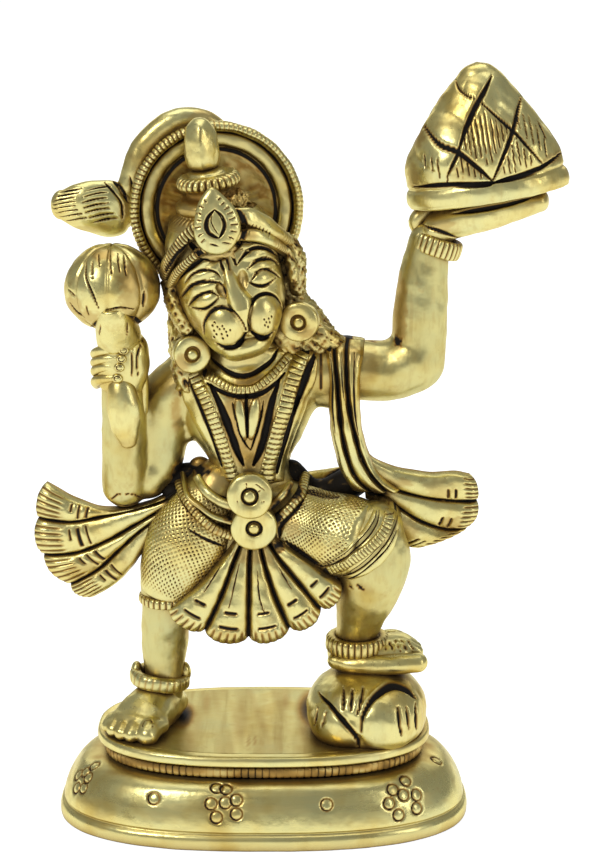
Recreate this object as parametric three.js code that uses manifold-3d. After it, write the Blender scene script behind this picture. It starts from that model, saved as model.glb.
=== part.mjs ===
// A small cast-brass figure of Hanuman in a striding pose, made in one piece with its oval plinth.
// The figure holds a mace upright on one side and lifts a mountain on the other, with one foot on a
// boulder.
// Millimetres, +X to the viewer's right, +Y away from the viewer, +Z up.
// The origin is the middle of the plinth's flat underside.
import * as THREE from "three";
import { mergeVertices } from "three/addons/utils/BufferGeometryUtils.js";
import Module from "manifold-3d";

const wasm = await Module();
wasm.setup();

// Driving dimensions of the figure. Its pose and carving are given in shares, 99 to its height,
// measured from the middle of the foot plate's top.
const figureHeight = 99;
const sharesInHeight = 99;
const share = figureHeight / sharesInHeight;

// Driving dimensions of the plinth.
const plinthHeight = 13.4;
const plateThickness = 1.8;
const plateMargin = 0.8;
const bandHeight = 2.1;
const bandInset = 1.5;
const rimHeight = 2.4;
const rimStep = 0.5;
const flareAtEnds = 6.4;
const flareAtFront = 3.4;
const plinthCorners = 2.5;

// The ground that the feet and the boulder cover, which the foot plate has to carry.
const stanceHalfLength = 23.6 * share;
const stanceHalfDepth = 14.8 * share;
const plateHalfLength = stanceHalfLength + plateMargin;
const plateHalfDepth = stanceHalfDepth + plateMargin;

// How far the feet and the boulder run down into the foot plate, so that the cast is one body.
const rootDepth = 0.6;

const brass = new THREE.MeshStandardMaterial({ color: 0xc9a94c, roughness: 0.28, metalness: 1.0 });

// A closed three.js geometry as a solid that can be joined and cut.
function solid(geometry) {
  const bare = geometry.index ? geometry.clone() : geometry;
  bare.deleteAttribute("normal");
  bare.deleteAttribute("uv");
  const merged = mergeVertices(bare, 1e-4);
  const made = new wasm.Manifold(
    new wasm.Mesh({
      numProp: 3,
      vertProperties: merged.attributes.position.array,
      triVerts: new Uint32Array(merged.index.array),
    }),
  );
  if (made.volume() > 0) return made;
  const index = merged.index.array;
  for (let i = 0; i < index.length; i += 3) [index[i + 1], index[i + 2]] = [index[i + 2], index[i + 1]];
  return new wasm.Manifold(
    new wasm.Mesh({
      numProp: 3,
      vertProperties: merged.attributes.position.array,
      triVerts: new Uint32Array(index),
    }),
  );
}

const join = (solids) => solids.reduce((sum, next) => sum.add(next));

// A closed skin over rings of equal length, with a middle point at each end.
function skin(rings) {
  const sides = rings[0].length;
  const middle = (ring) =>
    ring.reduce((sum, p) => sum.add(p), new THREE.Vector3()).divideScalar(sides);
  const points = [...rings.flat(), middle(rings[0]), middle(rings[rings.length - 1])];
  const first = rings.length * sides;
  const index = [];
  for (let r = 0; r + 1 < rings.length; r++)
    for (let s = 0; s < sides; s++) {
      const a = r * sides + s;
      const b = r * sides + ((s + 1) % sides);
      index.push(a, b, b + sides, a, b + sides, a + sides);
    }
  for (let s = 0; s < sides; s++) {
    const next = (s + 1) % sides;
    const last = (rings.length - 1) * sides;
    index.push(first, next, s, first + 1, last + s, last + next);
  }
  const geometry = new THREE.BufferGeometry().setFromPoints(points);
  geometry.setIndex(index);
  return solid(geometry);
}

// A rounded limb, fold or cord. Each station is [x, y, up, half width, half depth]. The half width
// is measured across the path and square to the level direction, and the half depth along it.
function limb(stations, { sides = 8, steps = 6, level = [0, 1, 0], blunt = 0.7 } = {}) {
  const path = new THREE.CatmullRomCurve3(stations.map(([x, y, z]) => new THREE.Vector3(x, y, z)));
  const sizes = new THREE.CatmullRomCurve3(
    stations.map(([, , , wide, deep = wide]) => new THREE.Vector3(wide, deep, 0)),
  );
  const levelWay = new THREE.Vector3(...level);
  const ring = (t, size, push) => {
    const along = path.getTangent(t);
    const across = new THREE.Vector3().crossVectors(levelWay, along).normalize();
    const deepWay = new THREE.Vector3().crossVectors(along, across).normalize();
    const half = sizes.getPoint(t);
    const centre = path.getPoint(t).addScaledVector(along, push * Math.min(half.x, half.y));
    return Array.from({ length: sides }, (_, s) => {
      const angle = (2 * Math.PI * s) / sides;
      return centre
        .clone()
        .addScaledVector(across, half.x * size * Math.cos(angle))
        .addScaledVector(deepWay, half.y * size * Math.sin(angle));
    });
  };
  const rings = [ring(0, 0.55, -blunt)];
  for (let i = 0; i <= steps; i++) rings.push(ring(i / steps, 1, 0));
  rings.push(ring(1, 0.55, blunt));
  return skin(rings);
}

// A ball with three radii.
function ball([x, y, z], [rx, ry, rz], wide = 8, high = 6) {
  const geometry = new THREE.SphereGeometry(1, wide, high).rotateX(Math.PI / 2);
  return solid(geometry.scale(rx, ry, rz).translate(x, y, z));
}

// A ring of round section, lying flat unless it is turned.
function ring([x, y, z], [rx, ry], thick, { around = 16, sides = 4, pitch = 0, roll = 0 } = {}) {
  const geometry = new THREE.TorusGeometry(1, thick / rx, sides, around);
  geometry.scale(rx, ry, rx).rotateX(pitch).rotateY(roll);
  return solid(geometry.translate(x, y, z));
}

// A turned form about a standing axis, from a profile of [radius, height].
function turned(profile, sides) {
  const geometry = new THREE.LatheGeometry(
    profile.map(([r, h]) => new THREE.Vector2(r, h)),
    sides,
  );
  return geometry.rotateX(Math.PI / 2);
}

// A knife that cuts a V-shaped groove of the given width and depth from one point to another on a
// surface that faces the viewer.
function knife(from, to, width, depth) {
  const a = new THREE.Vector3(...from);
  const b = new THREE.Vector3(...to);
  const along = b.clone().sub(a).normalize();
  const across = new THREE.Vector3().crossVectors(along, new THREE.Vector3(0, 1, 0)).normalize();
  const out = new THREE.Vector3(0, -1, 0);
  const section = (p) => [
    p.clone().addScaledVector(across, width).addScaledVector(out, depth),
    p.clone().addScaledVector(across, -width).addScaledVector(out, depth),
    p.clone().addScaledVector(out, -depth),
  ];
  return skin([section(a), section(b)]);
}

// Cuts grooves along lines of [across, up] that a surface function lays on the front of a solid.
function cutLines(made, lines, onFront, width, depth) {
  const strokes = lines.flatMap((line) => line.slice(1).map((to, i) => [line[i], to]));
  return strokes.reduce(
    (left, [from, to]) => left.subtract(knife(onFront(from), onFront(to), width, depth)),
    made,
  );
}

// Pleated cloth that spreads from a gathered line to its free edge. The gather is two points, and
// the edge has one point on each side of every pleat. A pleat has a flat crest, a valley on either
// side and an end that reaches past its valleys.
function pleats(gather, edge, options = {}) {
  const { rise = 1.1, thick = 1.8, bow = 0.8, reach = 1.1 } = options;
  const { stops = [0, 0.5, 0.85, 1], outward = [0, -1, 0] } = options;
  const outWay = new THREE.Vector3(...outward);
  const pleatCount = edge.length - 1;
  const ends = edge.map((p) => new THREE.Vector3(...p));
  const [from, to] = gather.map((p) => new THREE.Vector3(...p));
  const starts = ends.map((_, j) => from.clone().lerp(to, j / pleatCount));
  const at = (k, across, part, out, past) => {
    const next = Math.min(k + 1, pleatCount);
    const start = starts[k].clone().lerp(starts[next], across);
    const end = ends[k].clone().lerp(ends[next], across);
    const way = end.clone().sub(start);
    const point = start.addScaledVector(way, part + (past * part ** 4) / way.length());
    return point.addScaledVector(outWay, out + bow * Math.sin(Math.PI * part));
  };
  const points = stops.flatMap((part) => {
    const lift = rise * (0.35 + 0.65 * part);
    const folds = Array.from({ length: pleatCount }, (_, k) => [
      at(k, 0, part, 0, 0),
      at(k, 0.27, part, lift, reach),
      at(k, 0.73, part, lift, reach),
    ]);
    const behind = ends.map((_, k) => at(k, 0, part, -thick, 0));
    return [...folds.flat(), at(pleatCount, 0, part, 0, 0), ...behind];
  });
  const perStop = 4 * pleatCount + 2;
  const front = (r, i) => r * perStop + i;
  const frontEdge = 3 * pleatCount;
  const back = (r, k) => r * perStop + frontEdge + 1 + k;
  const last = stops.length - 1;
  const index = [];
  const quad = (p, q, r, s) => index.push(p, q, r, p, r, s);
  for (let r = 0; r < last; r++) {
    for (let i = 0; i < frontEdge; i++)
      quad(front(r, i), front(r, i + 1), front(r + 1, i + 1), front(r + 1, i));
    for (let k = 0; k < pleatCount; k++)
      quad(back(r, k), back(r + 1, k), back(r + 1, k + 1), back(r, k + 1));
    quad(front(r, 0), front(r + 1, 0), back(r + 1, 0), back(r, 0));
    quad(back(r, pleatCount), back(r + 1, pleatCount), front(r + 1, frontEdge), front(r, frontEdge));
  }
  for (let k = 0; k < pleatCount; k++) {
    for (let i = 3 * k; i < 3 * k + 3; i++) {
      index.push(front(0, i), back(0, k), front(0, i + 1));
      index.push(front(last, i), front(last, i + 1), back(last, k));
    }
    index.push(back(0, k), back(0, k + 1), front(0, 3 * k + 3));
    index.push(back(last, k), front(last, 3 * k + 3), back(last, k + 1));
  }
  const geometry = new THREE.BufferGeometry().setFromPoints(points);
  geometry.setIndex(index);
  return solid(geometry);
}

// Everything between a solid's own frame and the figure's: a roll to the viewer's left, a yaw to
// the viewer's right, and a place.
function placed(made, { roll = 0, yaw = 0, at = [0, 0, 0] }) {
  return made.rotate([0, 0, yaw]).rotate([0, -roll, 0]).translate(at);
}

// The oval plinth: a rim, a swelling bell, a sunk band and the foot plate. An outline between the
// base's and the plate's is a superellipse.
function plinth() {
  const sides = 26;
  const outline = (toPlate, inset, height) => {
    const a = plateHalfLength + flareAtEnds * (1 - toPlate) - inset;
    const b = plateHalfDepth + flareAtFront * (1 - toPlate) - inset;
    return Array.from({ length: sides }, (_, s) => {
      const angle = (2 * Math.PI * (s + 0.5)) / sides;
      const [c, d] = [Math.cos(angle), Math.sin(angle)];
      const power = 2 / plinthCorners;
      return new THREE.Vector3(
        a * Math.sign(c) * Math.abs(c) ** power,
        b * Math.sign(d) * Math.abs(d) ** power,
        height,
      );
    });
  };
  const plateFoot = plinthHeight - plateThickness;
  const bandFoot = plateFoot - bandHeight;
  const bell = (part) => rimHeight + (bandFoot - rimHeight) * part;
  return skin([
    outline(0, rimStep, 0),
    outline(0, 0, rimStep),
    outline(0, 0, rimHeight - rimStep),
    outline(0, rimStep, rimHeight),
    outline(0.12, rimStep, bell(0.35)),
    outline(0.5, rimStep, bell(0.8)),
    outline(1, bandInset, bell(1)),
    outline(1, bandInset, plateFoot),
    outline(1, 0, plateFoot + plateThickness * 0.25),
    outline(1, 0, plinthHeight - plateThickness * 0.25),
    outline(1, plateThickness * 0.2, plinthHeight),
  ]);
}

// The boulder under the raised foot, with its carved clefts.
function boulder() {
  const [x, y, up] = [15.2, -3.6, 3.2];
  const [rx, ry, rise] = [8.6, 9.9, 6.7];
  const onFront = ([across, height]) => [
    across,
    y - ry * Math.sqrt(Math.max(0, 1 - ((across - x) / rx) ** 2 - ((height - up) / rise) ** 2)),
    height,
  ];
  const clefts = [
    [[9.2, 6.2], [11.4, 3.2], [13.8, 0.6]],
    [[14.0, 1.8], [15.0, 5.2], [17.6, 7.6]],
  ];
  return cutLines(ball([x, y, up], [rx, ry, rise], 12, 7), clefts, onFront, 0.8, 1);
}

// A foot: a pleated form whose pleats are the five toes, deep at the instep and low at the toes.
function foot(heel, toes, deep) {
  const count = 5;
  const [from, to] = toes.map((p) => new THREE.Vector3(...p));
  const edge = Array.from({ length: count + 1 }, (_, k) => from.clone().lerp(to, k / count).toArray());
  return pleats(heel, edge, {
    rise: 0.9,
    thick: deep,
    bow: 0.6,
    reach: 0.9,
    stops: [-0.12, 0.4, 1],
    outward: [0, 0, 1],
  });
}

// A closed fist: one roll, pinched between each finger and the next.
function fist(first, last, radius, fingers) {
  const stops = 2 * fingers - 1;
  const stations = Array.from({ length: stops }, (_, i) => {
    const part = i / (stops - 1);
    return [...first.map((v, k) => v + (last[k] - v) * part), radius * (i % 2 ? 0.88 : 1)];
  });
  return limb(stations, { sides: 7, steps: stops - 1, blunt: 0.2 });
}

// The standing leg on the viewer's left, its anklet and its foot on the plate.
function standingLeg() {
  return [
    limb(
      [[-9.5, 0.5, 31, 5.6], [-13.2, -0.5, 24, 5], [-14.5, -0.6, 17, 3.9], [-14.6, 0.2, 12.5, 3.5],
        [-15, 0.2, 8, 3], [-15.1, 0.2, 4.5, 2.9]],
      { steps: 6 },
    ),
    ring([-15.4, 0, 7], [3.5, 3.5], 1.05, { around: 10, pitch: 0.08, roll: -0.12 }),
    foot([[-17.6, 2.6, 4.2], [-11.6, 2, 4.2]], [[-22.9, -7.2, 1.4], [-15.4, -10.4, 1.8]], 6),
  ];
}

// The bent leg on the viewer's right, its anklet and its foot on the boulder.
function bentLeg() {
  return [
    limb(
      [[5, 0, 31, 5.4], [10.6, -3.4, 30.2, 5.5], [16.2, -6.4, 29.2, 5.7], [16, -5.4, 23.4, 5.3],
        [14.7, -3, 18, 4], [13.9, -1.6, 14.4, 3.2], [13.8, -1.5, 12.4, 3.7], [13.8, -1.5, 10.4, 3.7]],
      { steps: 7 },
    ),
    ring([14.2, -1.6, 12.8], [3.9, 3.8], 1.15, { around: 10, pitch: 0.05, roll: -0.12 }),
    foot([[11, -4.4, 11.8], [11, 2, 11.8]], [[23, -5.6, 11.2], [22.8, 1.6, 11.8]], 2.6),
  ];
}

// The tucked cloth over the hips and both thighs, with the rolled hems.
function skirt() {
  return [
    limb([[-1.2, 0.5, 38, 7.4, 4.8], [-1, 0.3, 33, 10, 6], [-1.4, 0.4, 26, 10.4, 5.4],
      [-2, 0.8, 20.5, 9.4, 4]], { sides: 8, steps: 3, blunt: 0.2 }),
    limb([[-6.6, 0, 35, 5.6, 5.2], [-10.4, -0.6, 29.5, 6.8, 6.2], [-12.6, -1, 24.5, 5.8, 5.6],
      [-13.8, -1, 20.4, 4.6, 4.7]], { sides: 9, steps: 4, blunt: 0.1 }),
    limb([[1.5, -0.4, 33, 5.6, 5.2], [7.6, -2.6, 30.8, 5.9, 6], [13.4, -5.4, 30, 6.4, 6.6]],
      { sides: 9, steps: 3, blunt: 0.1 }),
    ring([-13.9, -1, 20.2], [4.6, 4.7], 0.7, { around: 10, roll: -0.2 }),
    limb([[18.4, -6, 35, 0.8], [18.7, -9.8, 32.3, 0.9], [16.4, -11.8, 28.6, 0.9], [13.2, -11, 25.2, 0.9],
      [10.4, -8.4, 23, 0.8]], { sides: 4, steps: 6 }),
  ];
}

// The fan of pleats that hangs from the girdle.
function apron() {
  const gather = [[-3.4, -5.6, 31.6], [1.4, -5.6, 31.6]];
  const edge = [
    [-14.2, -6.2, 20.2],
    [-8.3, -7.2, 17.0],
    [-2.1, -8.0, 16.2],
    [3.8, -8.4, 17.9],
    [8.2, -9.2, 21.2],
    [11.2, -9.8, 25.2],
  ];
  return [pleats(gather, edge, { rise: 1.3, thick: 2.6, bow: 1.2 })];
}

// Belly, chest, shoulders and neck.
function torso() {
  return [
    limb(
      [[-1.2, 0.5, 35, 8, 5.2], [-1.7, 0.2, 39.6, 5.6, 4.4], [-2.4, 0, 44, 7.6, 4.9],
        [-2.7, -0.1, 48.4, 9.5, 5.4], [-2.2, 0.3, 52.5, 10.6, 5], [-2.2, 0.5, 55.6, 7.6, 4],
        [-2.9, -0.2, 58.4, 4.2, 3.7], [-3.2, -0.8, 61.5, 4, 3.6]],
      { sides: 9, steps: 7 },
    ),
  ];
}

// The arm on the viewer's left, bent upright, its fist closed round the mace.
function maceArm() {
  return [
    limb([[-10.5, 1.4, 52.4, 4.2], [-14.2, 1.8, 48.6, 4.2], [-17.6, 1.4, 42.4, 3.9], [-20.2, 0, 37.6, 3.5],
      [-20.7, -1.2, 38.4, 3.5]], { steps: 4 }),
    limb([[-20.4, -0.6, 37.2, 3.5], [-20.8, -2, 44, 3.6], [-20.7, -3, 50, 3.2], [-20.4, -3.4, 54, 2.9]], {
      steps: 3,
    }),
    fist([-20.6, -4, 52.6], [-20.2, -4, 59.2], 3.9, 4),
  ];
}

// The mace: a ribbed ball on a stout shaft with a tapered pommel.
function mace() {
  const lobes = 8;
  const sides = lobes * 2;
  const levels = 6;
  const centre = [-21.6, -4, 67.2];
  const radius = 6.5;
  const rings = Array.from({ length: levels }, (_, i) => {
    const rise = -Math.PI / 2 + (Math.PI * (i + 0.7)) / (levels + 0.4);
    return Array.from({ length: sides }, (_, s) => {
      const angle = (2 * Math.PI * s) / sides;
      const out = radius * Math.cos(rise) * (s % 2 ? 0.92 : 1.02);
      return new THREE.Vector3(
        centre[0] + out * Math.cos(angle),
        centre[1] + out * Math.sin(angle),
        centre[2] + radius * Math.sin(rise),
      );
    });
  });
  return [
    skin(rings),
    limb([[-20.4, -4.4, 56, 2.7], [-20.7, -4.4, 62.6, 3.1]], { steps: 2 }),
    limb([[-20.2, -6, 54, 1.9], [-19.8, -6.8, 49.5, 1.9], [-19.5, -7, 45.6, 1.3]], { sides: 6, steps: 3 }),
  ];
}

// The raised arm on the viewer's right, its bangle and its open hand.
function raisedArm() {
  return [
    limb(
      [[7.6, 0.8, 54.2, 4.4], [13, 0.7, 54.2, 4.5], [18.6, 0.4, 54.2, 4.3], [22.6, 0.2, 57.4, 4.2],
        [23.3, 0, 63, 3.9], [23.8, 0, 68.4, 3.3], [24.8, -0.2, 73.6, 2.7]],
      { steps: 8 },
    ),
    ring([25, -0.2, 72.7], [2.9, 2.9], 1.05, { around: 10, roll: 0.3 }),
    limb(
      [[25.2, -0.4, 74.4, 2.3, 2.5], [29, -1, 76.7, 2.2, 3.9], [34.4, -1.2, 78.1, 2, 4.1],
        [39.4, -1, 79.3, 1.3, 3.4]],
      { sides: 6, steps: 3 },
    ),
  ];
}

// The mountain on the open hand: a blunt cone on a rim, its face cut into a lattice of rocks.
function mountain() {
  const profile = [[0, 0], [11, 0], [11.8, 0.9], [11.6, 2.6], [10.7, 3.2], [9.4, 8], [7, 12.4], [4.2, 16],
    [1.8, 18.4], [0, 18.8]];
  const depthShare = 0.68;
  const radiusAt = (up) => {
    const k = profile.findIndex(([, height], i) => i > 1 && height >= up);
    const [[r0, h0], [r1, h1]] = [profile[k - 1], profile[k]];
    return r0 + ((r1 - r0) * (up - h0)) / (h1 - h0);
  };
  const onFront = ([across, up]) => {
    const radius = radiusAt(up);
    return [across, -depthShare * Math.sqrt(Math.max(0, radius ** 2 - across ** 2)), up];
  };
  const lattice = [
    [[1.6, 3.6], [4.9, 8.6], [4.8, 12.4]],
    [[1.6, 3.6], [-3.4, 6.4], [-7.4, 9.6]],
    [[-6.0, 3.6], [-3.4, 6.4], [-0.6, 11.6], [1.4, 15.6]],
    [[8.6, 3.6], [4.9, 8.6], [0.4, 12], [-2.6, 14.4]],
  ];
  const cone = solid(turned(profile, 14).scale(1, depthShare, 1));
  return placed(cutLines(cone, lattice, onFront, 0.5, 0.7), { roll: 9, at: [32.6, -1.2, 79.6] });
}

// The head, turned and tilted as one: skull, muzzle, ears, ear discs, crown and the ring of glory.
const headPlace = { roll: 15, yaw: 9, at: [-4, -1.5, 66] };

function face() {
  const side = (make) => [make(-1), make(1)].flat();
  return [
    limb([[0, -4.4, -8.2, 3.4, 2.4], [0, -2.2, -5.4, 6.3, 5.6], [0, -0.2, 0, 7.9, 7.6],
      [0, 0.6, 5, 8.6, 7.4], [0, 1, 9, 7.6, 6.6]], { sides: 10, steps: 5, blunt: 0.5 }),
    limb([[0, -7.2, 4, 1.1, 1], [0, -8.4, 0.6, 1.3, 1.2], [0, -9.6, -1.8, 1.5, 1.2]],
      { sides: 4, steps: 2 }),
    ...side((s) => [
      ball([s * 2.9, -8.2, -2.8], [2.8, 2.4, 2.9], 8, 6),
      ball([s * 3.9, -6.4, 2.2], [2.4, 1.4, 1.2], 6, 4),
      ball([s * 8.6, 1.4, 3.4], [1.5, 2, 3.6], 6, 4),
    ]),
  ];
}

// An ear disc that faces the viewer: a rimmed ring with a boss.
function earDisc(at) {
  const profile = [[0, -0.4], [2.8, -0.4], [2.8, 1.1], [2.2, 1.6], [1.3, 0.9], [0.9, 1.6], [0, 1.8]];
  return solid(turned(profile, 10).rotateX(Math.PI / 2).translate(...at));
}

function crown() {
  const leaf = [[-2.9, 7.6], [0, 7], [2.9, 7.6], [3.7, 11], [2.2, 14.4], [0, 17.2], [-2.2, 14.4],
    [-3.7, 11]];
  const jewel = skin([
    leaf.map(([x, up]) => new THREE.Vector3(x, -6.2, up)),
    leaf.map(([x, up]) => new THREE.Vector3(x, -8.6, up)),
    leaf.map(([x, up]) => new THREE.Vector3(x * 0.7, -9.3, 11.4 + (up - 11.4) * 0.75)),
  ]);
  const tiers = [[0, 7], [7.2, 8.4], [7, 11.6], [5.7, 14.2], [3.7, 15.8], [4.5, 16.9], [3.7, 17.8],
    [1.9, 18.2], [2.9, 20.6], [2.3, 24], [1, 25.6], [0, 26]];
  return [
    ring([0, 0.4, 8.4], [8.5, 8], 1.3, { around: 14, pitch: -0.42 }),
    solid(turned(tiers, 10)),
    jewel,
  ];
}

function ringOfGlory() {
  const profile = [[0, 0], [11.4, 0], [12.9, 1.2], [12.6, 3], [11.2, 2.9], [10.6, 2], [9.6, 2.3],
    [7.8, 0.9], [0, 0.9]];
  const geometry = turned(profile, 24).rotateX(Math.PI / 2);
  return solid(geometry.translate(0.6, 6, 12.2));
}

function head() {
  return join([...face(), ...crown(), ringOfGlory()]);
}

// The hair that falls behind the ears to the shoulders.
function hair() {
  return [
    limb([[3, 0.8, 71, 2.4], [4.6, 1.2, 65.4, 2.6], [8, 1.2, 58.6, 2.6]], { sides: 6, steps: 2 }),
    limb([[-11.6, 1, 66, 2.3], [-11.4, 1, 60, 2.6], [-10.8, 0.9, 55.6, 2.5]], { sides: 6, steps: 2 }),
  ];
}

// The tail: up the back, over the ring of glory, and down on the viewer's left to its leaf-shaped tuft.
function tail() {
  return [
    limb(
      [[-1, 4.6, 32, 1.7], [-2.6, 6.2, 40, 1.8], [-3.6, 7.2, 52, 1.8], [-4.6, 8, 64, 1.8],
        [-5.4, 8.2, 76, 1.8], [-5.6, 7.4, 86, 1.7], [-8, 6.6, 89.9, 1.6], [-12.4, 6.2, 90.2, 1.6],
        [-16.6, 6, 86.2, 1.7], [-19.2, 5.8, 80.4, 1.7]],
      { sides: 5, steps: 11 },
    ),
    limb(
      [[-18.6, 5.6, 79.6, 2.2, 1.5], [-21.4, 5.2, 78.3, 3.2, 1.9], [-25.4, 4.8, 77.6, 4, 2],
        [-29.2, 4.6, 77.8, 2.9, 1.6]],
      { steps: 4 },
    ),
  ];
}

// The shawl: three strands over the shoulder, a fan of folds beside each hip, and the cloth that
// joins them behind the waist.
function shawl() {
  const strands = [[13, -3.4, 38.2], [14.9, -3.4, 37.6], [16.8, -3.2, 37], [18.6, -2.8, 36.2]];
  const rightEdge = [[22.4, -0.6, 27.4], [29.8, -1, 29.8], [31, -1, 33.8], [30.6, -1, 37.9]];
  const leftEdge = [[-31, -1, 36.4], [-32.6, -1, 33], [-32.4, -0.8, 27.6], [-28.9, -0.6, 22.2],
    [-25.2, -0.4, 20.2]];
  const fan = { thick: 2.6, stops: [0, 0.5, 1] };
  return [
    pleats([[8.8, -0.4, 58.8], [14.6, -0.4, 58.8]], strands, {
      bow: 3.6,
      thick: 2.4,
      reach: 0,
      stops: [-0.04, 0.1, 0.38, 0.7, 1],
    }),
    pleats([[15.4, -1.4, 33.8], [14, -2, 40.2]], rightEdge, fan),
    pleats([[-11.8, -1.8, 36.6], [-12.2, -1.8, 30]], leftEdge, fan),
    limb([[-12, 4, 37, 1.6, 1.4], [-1, 6.4, 34.4, 2.6, 1.4], [12, 4.4, 36.4, 1.6, 1.4]],
      { sides: 5, steps: 3 }),
    limb([[16, -1.6, 37, 2, 1.6], [12.4, 2.8, 36.6, 1.8, 1.4], [8, 5, 35.8, 1.6, 1.4]],
      { sides: 5, steps: 2 }),
  ];
}

// Necklaces, girdle and the two clasp discs at the waist.
function ornaments() {
  const disc = ([x, y, up], r) => {
    const profile = [[0, -1.4], [r, -1.4], [r, 0.4], [r * 0.8, 0.9], [r * 0.42, 0.6], [r * 0.3, 1.4],
      [0, 1.4]];
    return solid(turned(profile, 10).rotateX(Math.PI / 2).translate(x, y, up));
  };
  const chain = (stations) => limb(stations, { sides: 4, steps: 3 });
  return [
    chain([[-10.2, -2.9, 54.6, 0.95, 1.2], [-9.2, -4.2, 51, 0.95, 1.2], [-7.2, -4.9, 46.4, 0.95, 1.2],
      [-4, -5, 40.2, 0.95, 1.4]]),
    chain([[5.4, -2.3, 57.6, 0.95, 1.2], [4.6, -4, 53.6, 0.95, 1.2], [2.8, -4.9, 47.6, 0.95, 1.2],
      [0.4, -5, 40.4, 0.95, 1.4]]),
    ring([-2.6, -0.6, 55], [5.6, 4.8], 0.85, { around: 10, pitch: 0.35, roll: -0.2 }),
    disc([-1.7, -6.6, 37.6], 3.4),
    disc([-1.1, -7.4, 32.6], 3.3),
    ring([-1.6, 0.3, 35.6], [9.4, 6.4], 0.9, { around: 12, pitch: 0.45 }),
    limb([[-6.2, -4.6, 50.6, 1, 0.8], [-2.2, -5.9, 43, 0.9, 0.8]], { sides: 4, steps: 1 }),
    limb([[1.2, -4.6, 51.6, 1, 0.8], [-2, -5.9, 43, 0.9, 0.8]], { sides: 4, steps: 1 }),
  ];
}

// Everything above the plinth, in shares from the foot plate's top.
function figure() {
  const rooted = (made) => made.translate([0, 0, -rootDepth]);
  return join([
    ...standingLeg(),
    boulder(),
    ...bentLeg(),
    ...skirt(),
    ...apron(),
    ...torso(),
    ...maceArm(),
    ...mace(),
    ...raisedArm(),
    mountain(),
    placed(head(), headPlace),
    earDisc([-10.1, -4.4, 57.6]),
    earDisc([5, -4.4, 62.4]),
    ...hair(),
    ...tail(),
    ...shawl(),
    ...ornaments(),
    rooted(ball([15.2, -3.6, 1.2], [7.8, 8.8, 1.6], 12, 4)),
  ]);
}

function cast() {
  const standing = figure().scale([share, share, share]).translate([0, 0, plinthHeight]);
  const ground = solid(
    new THREE.BoxGeometry(4 * figureHeight, 4 * figureHeight, figureHeight).translate(
      0,
      0,
      plinthHeight - rootDepth - figureHeight / 2,
    ),
  );
  return plinth().add(standing.subtract(ground));
}

function meshOf(made, name) {
  const { vertProperties, triVerts } = made.getMesh();
  const geometry = new THREE.BufferGeometry();
  geometry.setAttribute("position", new THREE.BufferAttribute(vertProperties, 3));
  geometry.setIndex(new THREE.BufferAttribute(triVerts, 1));
  const mesh = new THREE.Mesh(geometry, brass);
  mesh.name = name;
  return mesh;
}

const group = new THREE.Group();
group.add(meshOf(cast(), "hanuman_with_plinth"));

export default group;
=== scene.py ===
"""A small cast-brass hanuman on an oval plinth: the carved and chased surfaces round the plain solid."""
import math
import bpy
import numpy as np
from mathutils.bvhtree import BVHTree
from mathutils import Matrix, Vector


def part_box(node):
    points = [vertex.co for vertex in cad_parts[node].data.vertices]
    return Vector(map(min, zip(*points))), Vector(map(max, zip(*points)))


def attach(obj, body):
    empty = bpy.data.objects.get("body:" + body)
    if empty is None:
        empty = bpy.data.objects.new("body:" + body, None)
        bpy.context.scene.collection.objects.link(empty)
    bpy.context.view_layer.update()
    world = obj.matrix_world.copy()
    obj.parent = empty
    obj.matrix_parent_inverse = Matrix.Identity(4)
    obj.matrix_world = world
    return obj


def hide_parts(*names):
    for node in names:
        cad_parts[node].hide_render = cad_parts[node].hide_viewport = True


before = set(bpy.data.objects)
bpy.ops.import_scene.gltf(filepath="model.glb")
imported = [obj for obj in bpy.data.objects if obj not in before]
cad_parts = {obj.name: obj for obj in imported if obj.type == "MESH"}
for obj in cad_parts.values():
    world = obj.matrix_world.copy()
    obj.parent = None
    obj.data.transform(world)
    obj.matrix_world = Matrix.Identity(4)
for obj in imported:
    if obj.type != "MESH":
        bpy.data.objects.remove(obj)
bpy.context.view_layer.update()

# ---- The camera: a long lens a little above the figure, looking down on the plinth.
foot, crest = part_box("hanuman_with_plinth")
CASTING_TALL = 111.6                      # millimetres, from the ground to the mountain's tip
MM = (crest.z - foot.z) / CASTING_TALL    # a millimetre of the casting, in the frame's metres
PLINTH_TALL = 13.4                        # the figure's heights are counted from the plinth's top
DOWNWARD = math.radians(13)               # how far the lens looks down
AWAY = 360 * MM                           # from the lens to the point that it aims at
AIM_ACROSS, AIM_UP = 5.5 * MM, 58.2 * MM  # that point, in the middle of the picture


def placed(name, data):
    """A new object that shows `data`, put into the scene at the origin."""
    made = bpy.data.objects.new(name, data)
    bpy.context.collection.objects.link(made)
    return made


lens = bpy.data.cameras.new("long_lens")
lens.sensor_width = 36
lens.sensor_fit = "AUTO"
lens.lens = 101.27
lens.clip_start, lens.clip_end = 0.01, 50
viewer = placed("viewer", lens)
viewer.location = (AIM_ACROSS, -AWAY * math.cos(DOWNWARD), AIM_UP + AWAY * math.sin(DOWNWARD))
viewer.rotation_euler = (math.radians(90) - DOWNWARD, 0, 0)
bpy.context.scene.camera = viewer


# ---- The studio: a white table that runs on past the view, four soft boxes and a pale room.
TABLE_HALF = 6.0
LIT_POINT = (0.0, 0.0, 0.06)              # the figure's middle, which every lamp looks at


def soft_box(name, place, size, power):
    """A lamp of `size` metres and `power` watts at `place`, turned towards the figure's middle."""
    lamp = bpy.data.lights.new(name, "AREA")
    lamp.shape = "RECTANGLE"
    lamp.size, lamp.size_y = size
    lamp.energy = power
    held = placed(name, lamp)
    held.location = place
    across, deep, up = np.array(LIT_POINT) - np.array(place)
    held.rotation_euler = (math.atan2(math.hypot(across, deep), -up), 0, math.atan2(-across, deep))


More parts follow.
